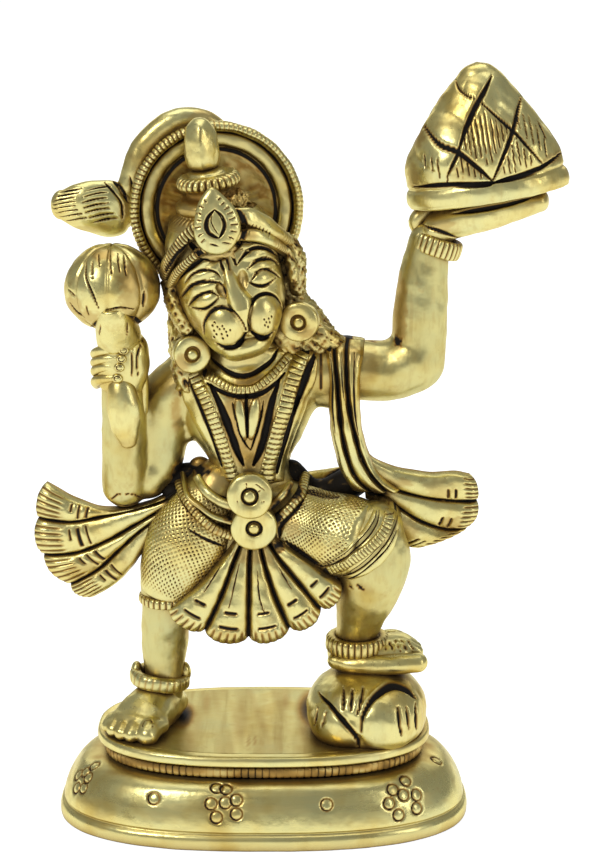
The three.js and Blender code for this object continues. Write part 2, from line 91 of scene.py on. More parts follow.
soft_box("key", (-0.55, -0.6, 0.75), (0.3, 0.4), 3.6)
soft_box("fill", (0.85, -0.55, 0.45), (0.2, 0.6), 1.5)
soft_box("top", (0.0, 0.15, 1.0), (0.9, 0.6), 3.1)
soft_box("back", (0.0, 1.3, 0.55), (1.6, 0.5), 3)

table_mesh = bpy.data.meshes.new("white_table")
corners = [(x * TABLE_HALF, y * TABLE_HALF, 0) for x, y in ((-1, -1), (1, -1), (1, 1), (-1, 1))]
table_mesh.from_pydata(corners, [], [(0, 1, 2, 3)])
table = placed("white_table", table_mesh)
paper = bpy.data.materials.new("white_paper")
paper.use_nodes = True
for name, value in (("Base Color", (0.5, 0.51, 0.52, 1)), ("Roughness", 0.9), ("Specular IOR Level", 0.1),
                    ("Emission Color", (0.95, 0.97, 1, 1)), ("Emission Strength", 0.93)):
    paper.node_tree.nodes["Principled BSDF"].inputs[name].default_value = value
table_mesh.materials.append(paper)

room = bpy.data.worlds.new("room")
room.use_nodes = True
room.node_tree.nodes["Background"].inputs["Color"].default_value = (0.9, 0.93, 1, 1)
room.node_tree.nodes["Background"].inputs["Strength"].default_value = 0.35
bpy.context.scene.world = room
bpy.context.scene.view_settings.view_transform = "Standard"


# ---- The metal: yellow brass, filed and polished on the high parts, with dark wax left in every cut and
# painted shade in its hollows. One recipe serves the casting; each piece says how polished it is and how
# rough its skin was cast.
# The brown film and the black stand for wax, and also paint the shade that the occlusion below finds.
BROWN_FILM_AND_SHADE = ((0.27, 0.14, 0.028), (0.45, 0.27, 0.07))
SPECK_BROWN = (0.16, 0.09, 0.02)
BLACK_WAX_AND_SHADE = (0.010, 0.008, 0.007)
CLEAN_TINTS = ((0.61, 0.46, 0.13), (0.70, 0.615, 0.245), (0.62, 0.58, 0.26))


def brass(name, polish=0.75, pitted=0.2, streaks=(1, 1, 1), drag=0.0, shaded_brightness=1.0):
    """Metal whose colour darkens where a mark called `wax` was cut in, and, as painted shade, where the
    surface is hidden from the open air; whose tint drifts with a slow noise, and whose gloss breaks with a
    fine one.
    `pitted` is how rough it was cast, `drag` how brown the brush's lines are, which are stretched by
    one over `streaks`, and the last number the share of the clean metal's brightness that is left: below 1
    it is a painted shade over the whole piece."""
    metal = bpy.data.materials.new(name)
    metal.use_nodes = True
    tree = metal.node_tree

    def put(value, socket):
        """Joins another node's output to the socket, or sets the socket to a plain value."""
        if isinstance(value, bpy.types.NodeSocket):
            tree.links.new(value, socket)
        else:
            socket.default_value = (*value, 1) if socket.type == "RGBA" else value

    def node(kind, out, **settings):
        made = tree.nodes.new(kind)
        for key, value in settings.items():
            if key in made.inputs.keys():
                put(value, made.inputs[key])
            else:
                setattr(made, key, value)
        return made.outputs[out]

    def noise(at, scale, detail, roughness):
        return node("ShaderNodeTexNoise", "Fac", Vector=at, Scale=scale, Detail=detail, Roughness=roughness)

    def ramp(source, *stops):
        made = tree.nodes.new("ShaderNodeValToRGB")
        put(source, made.inputs["Fac"])
        bar = made.color_ramp.elements
        while len(bar) < len(stops):
            bar.new(0.5)
        for element, (at, colour) in zip(bar, stops):
            element.position = at
            element.color = (*np.broadcast_to(colour, 3), 1)
        return made.outputs["Color"]

    def blend(kind, amount, first, second):
        made = tree.nodes.new("ShaderNodeMix")
        made.data_type = "RGBA"
        made.blend_type = kind
        for value, socket in ((amount, 0), (first, 6), (second, 7)):
            put(value, made.inputs[socket])
        return made.outputs[2]

    place = node("ShaderNodeTexCoord", "Object")
    drift, mottle, grain = noise(place, 110, 3, 0.6), noise(place, 420, 5, 0.62), noise(place, 1500, 4, 0.7)
    drawn = node("ShaderNodeMapping", "Vector", Vector=place, Scale=streaks)
    brushed, bumps = noise(drawn, 1200, 3, 0.6), noise(place, 900, 2, 0.5)
    # Painted shade together with wax: the ambient occlusion turns the colour to brown film and then to
    # black in hollows and where pieces meet.
    occlusion_shade_and_wax = node("ShaderNodeAmbientOcclusion", "AO", samples=5, Distance=2.8 * MM)
    wax = node("ShaderNodeAttribute", "Fac", attribute_name="wax")

    film = blend("LIGHTEN", 1.0, ramp(occlusion_shade_and_wax, (0.3, 1.0), (0.9, 0.0)), ramp(wax, (0.02, 0.0), (0.45, 1.0)))
    for stain in (ramp(mottle, (0.60 - 0.12 * pitted, 0.0), (0.72, 0.25 + 0.6 * pitted)),
                  ramp(brushed, (0.5, 0.0), (0.68, drag))):
        film = blend("LIGHTEN", 1.0, film, stain)
    # Painted shade in the crevices, broken up by the fine grain, going to black.
    crevice_shade_and_wax = blend("MULTIPLY", 1.0, ramp(occlusion_shade_and_wax, (0.24, 1.0), (0.58, 0.0)),
                    ramp(grain, (0.32, 1.0), (0.74, 0.5)))
    dark = blend("LIGHTEN", 1.0, crevice_shade_and_wax, ramp(wax, (0.4, 0.0), (0.85, 1.0)))
    specks = ramp(grain, (0.68 - 0.12 * pitted, 0.0), (0.75 - 0.1 * pitted, 0.7 * pitted + 0.05))

    # Painted shade: the clean tints are scaled down by the share of brightness that the piece keeps.
    clean = ramp(drift, *zip((0.3, 0.5, 0.7), np.multiply(CLEAN_TINTS, shaded_brightness)))
    colour = blend("MIX", film, clean, ramp(drift, *zip((0.3, 0.6), BROWN_FILM_AND_SHADE)))
    colour = blend("MIX", dark, blend("MIX", specks, colour, SPECK_BROWN), BLACK_WAX_AND_SHADE)
    gloss = ramp(brushed, (0.3, 0.40 - 0.25 * polish), (0.7, 0.54 - 0.26 * polish))
    gloss = blend("MIX", dark, blend("MIX", film, gloss, (0.42, 0.42, 0.42)), (0.62, 0.62, 0.62))
    fine = node("ShaderNodeBump", "Normal", Strength=0.12 + 0.2 * (1 - polish), Distance=0.05 * MM,
                Height=brushed)
    skin = node("ShaderNodeBump", "Normal", Strength=0.12 + 0.75 * pitted, Distance=0.16 * MM, Height=bumps,
                Normal=fine)
    for key, value in (("Base Color", colour), ("Metallic", ramp(dark, (0.2, 1.0), (0.85, 0.1))),
                       ("Roughness", gloss), ("Specular IOR Level", 0.14),
                       ("Specular Tint", (0.93, 0.87, 0.68)), ("Normal", skin)):
        put(value, tree.nodes["Principled BSDF"].inputs[key])
    return metal


polished = brass("polished_brass", polish=0.57, pitted=0.18, streaks=(1, 1, 0.3), drag=0.2)
filed = brass("filed_brass", polish=0.6, pitted=0.28)
# The flesh's brass is the polished one with its colour darkened to 0.82 of its brightness: a painted shade.
shaded_flesh = brass("shaded_flesh_brass", polish=0.5, pitted=0.16, streaks=(1, 1, 0.3), drag=0.2, shaded_brightness=0.82)
rough_cast = brass("rough_cast_brass", polish=0.45, pitted=0.75)
# The plate's brushed brass has its colour darkened to 0.82 in the same way: a painted shade.
brushed_shaded = brass("brushed_shaded_brass", polish=0.4, pitted=0.2, streaks=(0.5, 0.03, 1), drag=0.4,
                     shaded_brightness=0.82)
brushed_round = brass("brushed_round_brass", polish=0.7, pitted=0.1, streaks=(0.04, 0.3, 0.6), drag=0.22)


# ---- The plinth: a smooth rim, a swelling bell with punched rings, a sunk band of upright ribs and the
# plate that the feet stand on. It is cast in one with the figure, then turned up, chased and brushed.
def smooth(points, count, loop=False):
    """`count` points on a curve through the given ones: each span is the cubic whose slope at a point
    is half the chord between that point's neighbours."""
    p = np.asarray(points, float)
    ends = (p[-1:], p[:1], p[1:2]) if loop else (2 * p[:1] - p[1:2], 2 * p[-1:] - p[-2:-1], p[:0])
    p = np.vstack([ends[0], p, ends[1], ends[2]])
    spans = len(points) - (0 if loop else 1)
    t = np.linspace(0, spans, count, endpoint=not loop)
    i = np.minimum(t.astype(int), spans - 1)
    f = (t - i)[:, None]
    a, b, c, d = p[i], p[i + 1], p[i + 2], p[i + 3]
    return 0.5 * (2 * b + (c - a) * f + (2 * a - 5 * b + 4 * c - d) * f**2 + (3 * b - a - 3 * c + d) * f**3)


def ease(x, low, high):
    """0 below `low`, 1 above `high`, and the cubic 3t^2 - 2t^3 between them."""
    t = np.clip((x - low) / (high - low), 0, 1)
    return t * t * (3 - 2 * t)


def closed_skin(rings, wax=None, loop=False):
    """A closed skin over a grid of points (ring, place on the ring): a four-sided face between
    neighbours, each ring shut on itself, and a fan of triangles to the middle of each end ring. With
    `loop` the last ring joins the first instead."""
    n, m = rings.shape[:2]
    number = np.arange(n * m).reshape(n, m)
    start, end = (number, np.roll(number, -1, 0)) if loop else (number[:-1], number[1:])
    quads = np.stack([start, np.roll(start, -1, 1), np.roll(end, -1, 1), end], -1).reshape(-1, 4)
    points = rings.reshape(-1, 3)
    wax = np.zeros(n * m) if wax is None else np.broadcast_to(wax, (n, m)).reshape(-1)
    if loop:
        return [points, quads, np.zeros((0, 3), int), wax]
    first, last = number[0], number[-1]
    tris = np.vstack([np.stack([np.roll(first, -1), first, np.full(m, n * m)], -1),
                      np.stack([last, np.roll(last, -1), np.full(m, n * m + 1)], -1)])
    points = np.vstack([points, rings[0].mean(0), rings[-1].mean(0)])
    return [points, quads, tris, np.append(wax, [wax[:m].mean(), wax[-m:].mean()])]


def faced_out(form):
    """The same form with its faces outward: a closed skin's signed volume is the sum of the corners'
    triple products, and it is negative where the faces look inward."""
    points, quads, tris, wax = form
    thirds = np.vstack([quads[:, [0, 1, 2]], quads[:, [0, 2, 3]], tris])
    a, b, c = (points[thirds[:, k]] for k in range(3))
    if np.einsum("ij,ij->i", a, np.cross(b, c)).sum() < 0:
        return [points, quads[:, ::-1], tris[:, ::-1], wax]
    return form


def unit(ways):
    """Each direction at length one."""
    return ways / np.maximum(np.linalg.norm(ways, axis=-1), 1e-12)[..., None]


def outward(form):
    """Each point's outward direction: the sum of the areas of the faces round it, at length one."""
    points, quads, tris, _ = form
    area = np.cross(points[quads[:, 2]] - points[quads[:, 0]], points[quads[:, 3]] - points[quads[:, 1]])
    small = np.cross(points[tris[:, 1]] - points[tris[:, 0]], points[tris[:, 2]] - points[tris[:, 0]])
    corner = np.concatenate([quads.ravel(), tris.ravel()])
    given = np.vstack([np.repeat(area, 4, 0), np.repeat(small, 3, 0)])
    return unit(np.stack([np.bincount(corner, given[:, k], len(points)) for k in range(3)], 1))


def raised(form, rise):
    """The form with each point moved outward by its own `rise`."""
    return [form[0] + outward(form) * rise[:, None], *form[1:]]


def uneven(points, size=1.0):
    """A gentle unevenness of a hand-filed surface, from -1 to 1: the mean of nine waves that run in
    fixed scattered directions, each 1.7 to 5.7 millimetres long, or `size` times that."""
    total = np.zeros(len(points))
    for k in range(9):
        way = np.array((math.sin(2.4 * k + 1), math.cos(1.9 * k), math.sin(3.1 * k + 2)))
        closeness = 2 * math.pi / (size * (1.7 + 0.5 * k)) / np.linalg.norm(way)
        total = total + np.sin(points @ way * closeness + 1.3 * k)
    return total / 3.2


def piece(name, form, metal, lift=PLINTH_TALL, rough=0.045, keep=0.55):
    """The form as a piece of the casting: uneven by `rough` millimetres, its points taken from the
    figure's millimetres to the frame's metres, its faces and wax written into a mesh in one go. Flat
    stretches are then thinned out until the share `keep` of the faces is left."""
    points, quads, tris, wax = raised(form, rough * uneven(form[0]))
    mesh = bpy.data.meshes.new(name)
    mesh.vertices.add(len(points))
    mesh.vertices.foreach_set("co", ((points + (0, 0, lift)) * MM).astype(np.float32).ravel())
    mesh.loops.add(quads.size + tris.size)
    mesh.loops.foreach_set("vertex_index", np.concatenate([quads.ravel(), tris.ravel()]).astype(np.int32))
    mesh.polygons.add(len(quads) + len(tris))
    starts = np.concatenate([np.arange(len(quads)) * 4, quads.size + np.arange(len(tris)) * 3])
    mesh.polygons.foreach_set("loop_start", starts.astype(np.int32))
    mesh.update(calc_edges=True)
    mesh.shade_smooth()
    mark = mesh.attributes.new("wax", "FLOAT", "POINT")
    mark.data.foreach_set("value", np.clip(wax, 0, 1).astype(np.float32))
    mesh.materials.append(metal)
    made = placed(name, mesh)
    if keep < 1:
        made.modifiers.new("thinned", "DECIMATE").ratio = keep
    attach(made, "root")
    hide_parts("hanuman_with_plinth")


def run_along(path):
    """How far along the path each of its points is."""
    return np.append(0, np.cumsum(np.linalg.norm(np.diff(path, axis=0), axis=1)))


def boxy(x, power):
    """`x` to a power with its sign kept: below 1 it makes a circle's cosine and sine boxier."""
    return np.sign(x) * np.abs(x) ** power


def comb(angle, power):
    """A tooth at each whole turn of `angle`: half of 1 + its cosine, to a power that narrows the tooth."""
    return (0.5 + 0.5 * np.cos(angle)) ** power


def between(x, low, full, fade, high):
    """1 from `full` to `fade`, eased to 0 at `low` and at `high`."""
    return ease(x, low, full) * (1 - ease(x, fade, high))


def oval(count, half_long, half_deep, power=2 / 2.5):
    """The directions round a superellipse |x/a|^2.5 + |y/b|^2.5 = 1 that space its outline evenly."""
    def on_it(angle):
        return np.stack([boxy(np.cos(angle), power), boxy(np.sin(angle), power)], 1)
    angle = np.linspace(0, 2 * np.pi, 8001)
    run = run_along(on_it(angle) * (half_long, half_deep))
    return on_it(np.interp(np.arange(count) / count * run[-1], run, angle))


PLATE = np.array([25.1, 16.3])            # the plate's half length and half depth
FLARE = np.array([5.8, 3.1])              # what the base adds at the ends and at the front
BAND_FOOT, BAND_TOP = 9.8, 11.6           # the sunk band's heights from the ground
RIBS = 128                                # upright ribs round the band
AROUND = 896                              # points round the plinth
RING_RADIUS, RING_CUT = 0.88, 0.24        # a punched ring, and half the width of its cut
PUNCHED = [(-15.8, -15.5, -6.6), (9.3, -17.0, -6.9), (25.9, -4.6, -5.1)]
FLOWERS = [[(-6.7, -15.9, -5.0), (-5.3, -16.1, -5.1), (-7.4, -17.1, -6.8), (-5.4, -17.1, -6.6),
            (-3.7, -17.0, -6.3), (-6.6, -17.8, -8.4), (-3.7, -17.7, -8.0)],
           [(20.9, -12.3, -5.3), (18.9, -13.9, -5.8), (20.5, -13.6, -6.8), (22.3, -12.6, -7.2),
            (18.3, -15.0, -7.5), (22.4, -13.6, -8.8), (19.8, -15.1, -9.2)],
           [(-27.4, -7.6, -8.1), (-26.4, -9.0, -7.5), (-27.3, -5.8, -7.0), (-25.7, -8.3, -6.2),
            (-25.1, -6.8, -5.0), (-26.2, -6.9, -5.9)]]
profile = smooth([  # share of the way from the base's outline to the plate's, inset, height from the ground
    (0, 0.5, 0.0), (0, 0.1, 0.2), (0, 0, 0.7), (0, 0, 1.3), (0, 0.08, 1.8), (0, 0.3, 2.2), (0, 0.62, 2.42),
    (0.0, 0.72, 2.62), (0.01, 0.52, 2.95), (0.03, 0.5, 3.5), (0.065, 0.5, 4.2), (0.12, 0.5, 5.0),
    (0.21, 0.5, 6.0), (0.34, 0.5, 7.1), (0.5, 0.5, 8.1), (0.66, 0.6, 8.75), (0.84, 0.8, 9.25),
    (0.97, 1.1, 9.5), (1, 1.7, 9.62), (1, 2.2, 9.7), (1, 2.2, 9.82), (1, 1.3, 9.9), (1, 1.0, 10.1),
    (1, 0.9, 10.7), (1, 0.95, 11.2), (1, 1.2, 11.45), (1, 2.0, 11.55), (1, 2.0, 11.7), (1, 0.6, 11.78),
    (1, 0.15, 11.95), (1, 0, 12.25), (1, 0, 12.7), (1, 0.12, 13.1), (1, 0.4, 13.33), (1, 0.9, 13.4),
    (1, 2.2, 13.4)], 200)
share, inset, height = profile.T
round_it = oval(AROUND, *PLATE)


def level_ring(half, up, every=1):
    """The plate's outline, brought to another half length and half depth, at a height."""
    return np.column_stack([half * round_it[::every], np.full(len(round_it[::every]), up)])


half = PLATE + FLARE * (1 - share[:, None]) - inset[:, None]
inner = [level_ring((PLATE - 2.2) * k, PLINTH_TALL) for k in (0.9, 0.6, 0.3, 0.05)]
rings = np.array([level_ring(*at) for at in zip(half, height)] + inner)
along_band = np.arange(AROUND) / AROUND * RIBS
rib = comb(2 * np.pi * along_band, 7) * (0.72 + 0.28 * np.sin(along_band * 0.55))
on_band = between(rings[..., 2], BAND_FOOT, BAND_FOOT + 0.15, BAND_TOP - 0.15, BAND_TOP)
base = faced_out(closed_skin(rings, on_band * rib * 0.95))
cut = base[3] * 0.22
sunk = np.append((inset > 1.6) & (height > 9.5) & (height < BAND_TOP), np.zeros(len(inner)))
base[3] = np.maximum(base[3], np.append(np.repeat(sunk, AROUND), [0, 0]))
up = base[0][:, 2]
dirt = 0.5 + 0.5 * uneven(base[0] * (0.5, 1, 1), 0.9)
base[3] = np.maximum(base[3], (0.26 + 0.36 * dirt) * between(up, 9.2, 9.8, 11.5, 11.8))
base[3] = np.maximum(base[3], 0.3 * dirt * between(up, 8.3, 9.3, 9.9, 10.2))
for spot in sum(FLOWERS, PUNCHED):
    spot = base[0][np.argmin(np.linalg.norm(base[0] - np.add(spot, (0, 0, PLINTH_TALL)), axis=1))]
    apart = base[0] - spot
    gap = np.linalg.norm(apart, axis=1)
    ring_cut = np.clip(1 - np.abs(gap - RING_RADIUS) / RING_CUT, 0, 1)
    cut = cut + 0.22 * ring_cut - 0.04 * np.clip(1 - gap / 0.8, 0, 1)
    waxed_side = ease(apart[:, 0] + 0.5 * apart[:, 2], 0.4, -0.6)
    base[3] = np.maximum(base[3], ease(ring_cut, 0.1, 0.7) * (0.6 + 0.4 * waxed_side))
piece("plinth", raised(base, -cut), brushed_round, lift=0, rough=0.012, keep=0.24)


# ---- The plate that the feet stand on: the plinth's flat top, brushed from front to back, and darker in
# wide patches round the feet and in thin streaks before them.
def swell(flat, middle, half, turn=0.0, power=1.0):
    """A smooth rise over an ellipse of the flat view: (1 - r^2) to a power, r running from 0 at its
    middle to 1 on its outline; `turn` is in degrees, against the clock."""
    c, s = math.cos(math.radians(turn)), math.sin(math.radians(turn))
    x, z = (flat - middle).T
    r2 = ((x * c + z * s) / half[0]) ** 2 + ((z * c - x * s) / half[1]) ** 2
    return np.clip(1 - r2, 0, 1) ** power


DARK_PATCHES = [  # middle, half sizes, how dark
    ((-12.4, 2.0), (2.2, 7.5), 0.9), ((7.4, 5.0), (2.8, 10.5), 0.9), ((-2.1, -9.6), (0.35, 4.2), 0.35),
    ((-1.2, -9.0), (0.3, 3.2), 0.4), ((-0.2, -10.0), (0.35, 3.6), 0.35), ((8.8, -8.0), (1.6, 3.0), 0.5),
    ((-9.0, 8.0), (1.0, 7.0), 0.3), ((3.2, 9.0), (0.8, 6.0), 0.3)]
plate_rings = [  # inset, height, share of the length and depth
    (1.6, 12.9, 1), (1.5, 13.36, 1), (1.9, 13.43, 1)]
plate_rings += [(2.4, 13.43, k) for k in np.linspace(1, 0.04, 40)]
plate_rings = np.array([level_ring((PLATE - inward) * k, up, every=4) for inward, up, k in plate_rings])
plate = faced_out(closed_skin(plate_rings))
streaked = 0.09 + 0.09 * uneven(plate[0] * (1, 0.12, 1), 0.6)
plate[3] = np.maximum.reduce(
    [streaked] + [dark * swell(plate[0][:, :2], *at) for *at, dark in DARK_PATCHES])
piece("plate", plate, brushed_shaded, lift=0, rough=0.0, keep=1)


# ---- The boulder under the raised foot: a rounded lump with a bulging right half, cut with a long
# slanting cleft, an arc and short strokes.
def spans(flat, line, fineness):
    """Goes along a line's smoothed path, and gives for each span its way from end to end and, for every
    point of `flat`, the share of the span where it is nearest and the way to it from there."""
    path = smooth(line, fineness * len(line))
    for start, end in zip(path, path[1:]):
        way = end - start
        t = np.clip((flat - start) @ way / max(way @ way, 1e-9), 0, 1)
        yield way, t, flat - start - t[:, None] * way


def hit_by(flat, line, width, taper=0.5):
    """How far each point of `flat` lies inside a graver's stroke along `line`: 1 on its middle, 0 at its
    edge. The stroke is `width` across, and narrows to its ends as a half sine to the power `taper`."""
    path = smooth(line, 8 * len(line))
    near = np.flatnonzero(((flat > path.min(0) - width) & (flat < path.max(0) + width)).all(1))
    best = np.zeros(len(flat))
    for k, (_, t, apart) in enumerate(spans(flat[near], line, 8)):
        half = width / 2 * np.sin(np.pi * np.clip((k + t) / (len(path) - 1), 0.02, 0.98)) ** taper
        best[near] = np.maximum(best[near], 1 - np.linalg.norm(apart, axis=1) / half)
    return np.clip(best, 0, 1)


def engraved(form, strokes, seen=lambda p: p[:, [0, 2]], front=(0, -1, 0), deep=0.5):
    """The form with strokes cut into the side that faces `front`: each point sinks against its outward
    direction by the stroke's depth, V-shaped, and the cut keeps its wax. A stroke is
    (line, width) or (line, width, share of the depth)."""
    points, quads, tris, wax = form
    away = outward(form)
    facing = ease(away @ np.asarray(front, float), 0.02, 0.2)
    flat, cut, wax = seen(points), np.zeros(len(points)), wax.copy()
    for line, width, *share in strokes:
        mark = hit_by(flat, line, width) * facing
        cut = np.maximum(cut, mark * deep * (share[0] if share else 1))
        wax = np.maximum(wax, ease(mark, 0.05, 0.45))
    return [points - away * cut[:, None], quads, tris, wax]


def lump(middle, radii, around=120, up=90, square=2.0):
    """A closed swollen ball: x and y turn once round, the height runs from pole to pole, and each of
    them is raised to 2/`square`, so that more than 2 makes it boxier."""
    a = np.linspace(0, 2 * np.pi, around, endpoint=False)
    b = np.linspace(-np.pi / 2, np.pi / 2, up + 2)[1:-1, None]
    ca, sa, cb, sb = (boxy(k, 2 / square) for k in (np.cos(a), np.sin(a), np.cos(b), np.sin(b)))
    unit_ball = np.dstack([cb * ca, cb * sa, sb * np.ones_like(a)])
    return faced_out(closed_skin(np.asarray(middle) + unit_ball * radii))


def rises(flat, table, start=0.0):
    """Smooth rises added up on `start`: each row of the table is a height, and what `swell` takes."""
    return sum((high * swell(flat, *at) for high, *at in table), start)


def bulged(form, table, edge=0.05):
    """The form with such rises on its front, where a face turns to the viewer by more than `edge`."""
    return raised(form, rises(form[0][:, [0, 2]], table) * ease(-outward(form)[:, 1], edge, 0.4))


boulder = bulged(lump((15.5, -3.6, 3.3), (9.0, 9.7, 6.3), 230, 150, square=2.25), [
    (1.0, (18.8, 4.2), (4.9, 5.0), 0, 0.7), (0.7, (10.3, 2.4), (3.6, 3.6), 40),
    (0.5, (12.6, 7.2), (3, 2.6))], edge=0)
boulder = engraved(boulder, [
    ([(8.3, 6.9), (10.2, 6.0), (12.3, 4.0), (13.7, 2.2), (14.2, 0.0)], 1.0),
    ([(14.2, 2.2), (14.5, 5.0), (15.8, 7.3), (17.5, 8.4), (19.4, 8.7), (21.4, 7.9), (22.7, 6.6)], 0.9),
    ([(11.9, 8.6), (11.8, 5.9)], 0.5), ([(13.2, 8.6), (12.8, 5.8)], 0.5),
    ([(14.8, 8.6), (13.8, 5.3)], 0.45), ([(19.8, 6.5), (20.4, 2.2)], 0.62),
    ([(21.1, 6.4), (21.6, 2.8)], 0.5), ([(22.5, 6.4), (22.7, 2.4)], 0.6), ([(8.1, 5.4), (7.5, 2.4)], 0.3),
    ([(9.3, 5.4), (8.6, 2.9)], 0.3)], deep=0.75)
piece("boulder", boulder, polished)


# ---- The flesh: legs, waist, chest, neck and both arms, one smooth body. The founder models it in wax
# as rounded limbs pressed together, so that every joint is a soft fillet, and files it after casting.
def joined(*forms):
    """Several forms as one list of points and faces, each form's numbers moved past the last one's."""
    start = np.cumsum([0] + [len(form[0]) for form in forms])
    return [np.vstack([f[0] for f in forms]), np.vstack([f[1] + s for f, s in zip(forms, start)]),
            np.vstack([f[2] + s for f, s in zip(forms, start)]), np.concatenate([f[3] for f in forms])]


def read_off(at, run, rows):
    """The rows, each with its own run, read off at the runs `at`, in straight lines between them."""
    return np.stack([np.interp(at, run, column) for column in rows.T], 1)


def about(core, side, front, wide, deep, turn, power):
    """Rings of points about a path: side * wide * sin(turn) + front * deep * cos(turn), with the sine
    and the cosine raised to `power`, their signs kept."""
    s, c = boxy(np.sin(turn), power), boxy(np.cos(turn), power)
    return core[:, None] + side[:, None] * (wide * s)[..., None] + front[:, None] * (deep * c)[..., None]


def swept(stations, around=48, step=0.3, front=(0, -1, 0), ends=(1.0, 1.0), carve=None, square=2.0):
    """A closed form along a path. A station is x, y, up, half the width across the path, and half the
    depth towards `front`. The rings are `step` apart and square to the path, and the ends close as half
    balls, `ends` times as long as they are thick. `carve` takes the run along the path in millimetres
    and the turn from the front, and gives the rise and the wax."""
    rows = np.array([list(s) + [s[3]] * (5 - len(s)) for s in stations], float)
    path = smooth(rows, 40 * len(rows))
    run = run_along(path[:, :3])
    at = np.linspace(0, run[-1], max(int(run[-1] / step), 6))
    row = read_off(at, run, path)
    core, size = row[:, :3], row[:, 3:]
    way = unit(np.gradient(core, axis=0))
    ahead = np.broadcast_to(np.asarray(front, float), core.shape)
    ahead = unit(ahead - (ahead * way).sum(1)[:, None] * way)
    t = np.linspace(0, np.pi / 2, 9)[1:-1]
    caps = []
    for k, bulge in ((0, -ends[0]), (-1, ends[1])):
        off = np.sin(t) * bulge * size[k].min()
        caps.append((core[k] + way[k] * off[:, None], size[k] * np.cos(t)[:, None], at[k] + off,
                     np.repeat(way[[k]], len(t), 0), np.repeat(ahead[[k]], len(t), 0)))
    core, size, at, way, ahead = (np.concatenate([first[::-1], body, last]) for first, body, last
                                  in zip(caps[0], (core, size, at, way, ahead), caps[1]))
    turn = np.linspace(-np.pi, np.pi, around, endpoint=False)
    rise, wax = carve(at[:, None], turn[None]) if carve else (0.0, 0.0)
    rings = about(core, np.cross(way, ahead), ahead, size[:, :1] + rise, size[:, 1:] + rise, turn,
                  2 / square)
    return faced_out(closed_skin(rings, wax))


def fused(form, voxel, rounds):
    """The form's overlapping parts melted into one skin: a grid of `voxel` millimetres is laid through
    them, and each point of the new skin then moves half of the way to its neighbours' mean, `rounds`
    times over."""
    mesh = bpy.data.meshes.new("wax_model")
    points, quads, tris, _ = form
    mesh.from_pydata((points * 0.001).tolist(), [], quads.tolist() + tris.tolist())
    held = placed("wax_model", mesh)
    melt = held.modifiers.new("melt", "REMESH")
    melt.mode, melt.voxel_size = "VOXEL", voxel * 0.001
    rub = held.modifiers.new("rub", "SMOOTH")
    rub.factor, rub.iterations = 0.5, rounds
    done = bpy.data.meshes.new_from_object(held.evaluated_get(bpy.context.evaluated_depsgraph_get()))
    points = np.empty(len(done.vertices) * 3, np.float32)
    done.vertices.foreach_get("co", points)
    quads = np.empty(len(done.polygons) * 4, np.int32)
    done.polygons.foreach_get("vertices", quads)
    bpy.data.objects.remove(held)
    bpy.data.meshes.remove(mesh)
    bpy.data.meshes.remove(done)
    points = points.reshape(-1, 3).astype(float) * 1000
    return faced_out([points, quads.reshape(-1, 4).astype(int), np.zeros((0, 3), int),
                      np.zeros(len(points))])


flesh = joined(
    swept([(-9.5, 0.5, 31, 5.6), (-13.2, -0.5, 24, 5), (-14.5, -0.6, 17, 3.75), (-14.9, 0.2, 12.5, 3.55),
           (-15, 0.2, 8, 3.0), (-15.1, 0.2, 4.5, 2.9)]),
    swept([(5, 0, 31, 5.4), (10.6, -3.4, 30.2, 5.5), (15.6, -6.2, 29.6, 5.6)]),
    swept([(16.2, -6.0, 31.4, 4.6), (16.2, -6.0, 27.5, 5.6), (15.6, -5.2, 22.8, 4.9),
           (14.5, -3, 17.6, 3.65), (13.9, -1.6, 14.0, 3.1), (13.8, -1.5, 11.4, 3.4)]),
    swept([(-1.2, 0.5, 34, 8, 5.2), (-1.7, 0.2, 39.6, 5.6, 4.4), (-2.0, 0, 44, 7.8, 4.9),
           (-2.2, -0.1, 48.4, 9.9, 5.4), (-2.0, 0.3, 52.5, 10.8, 5), (-2.2, 0.5, 55.8, 7.6, 4),
           (-2.9, -0.2, 58.6, 4.6, 3.8), (-3.2, -0.8, 61.5, 4.4, 3.7)],
          around=72),
    swept([(-10.5, 1.4, 52.8, 4.5), (-14.2, 1.7, 49.0, 4.6), (-17.6, 1.4, 42.4, 3.9),
           (-20.0, 0.2, 38.4, 3.6)]),
    swept([(-13.2, 1.2, 51, 3.3), (-14.6, 1.4, 46, 3.8), (-15.3, 1.2, 40.8, 3.5), (-17.2, 0.6, 37.8, 3.2)]),
    swept([(-10.9, 0.8, 48, 1.6), (-10.9, 0.8, 44.9, 1.5)]),
    swept([(7.4, 0.2, 50.8, 2.0), (10.4, -0.8, 50.5, 1.8)]),
    swept([(-20.4, -0.5, 37.2, 3.5), (-20.4, -1.8, 42, 3.3), (-20.35, -2.6, 47, 3.2),
           (-20.4, -3.2, 51, 3.1), (-20.4, -3.6, 54.5, 3.1)]),
    swept([(6.8, 0.8, 54.0, 4.5), (13, 0.7, 54.2, 4.5), (18.6, 0.4, 54.2, 4.5), (22.1, 0.3, 55.7, 4.7)]),
    swept([(22.8, 0.2, 56.6, 4.1), (23.05, 0, 62, 4.0), (23.4, 0, 67.4, 3.7), (24.2, -0.2, 73.4, 3.0)]),
)
flesh = fused(flesh, voxel=0.38, rounds=7)


# ---- The chest: two ladder-cut chains that run down to the clasps, a ribbed neck band, and between
# them a split leaf with deep black sides, all chased into the front of the body.
def front_of(form, flat):
    """How far forward the form's nearest face is at each place of the front view, found by a straight
    line that goes back from well in front of it. Beside the form it is just behind the middle."""
    tree = BVHTree.FromPolygons(form[0].tolist(), form[1].tolist() + form[2].tolist())
    found = [tree.ray_cast((x, -60, up), (0, 1, 0))[0] for x, up in flat]
    return np.array([0.5 if hit is None else min(hit[1], 0.5) for hit in found])


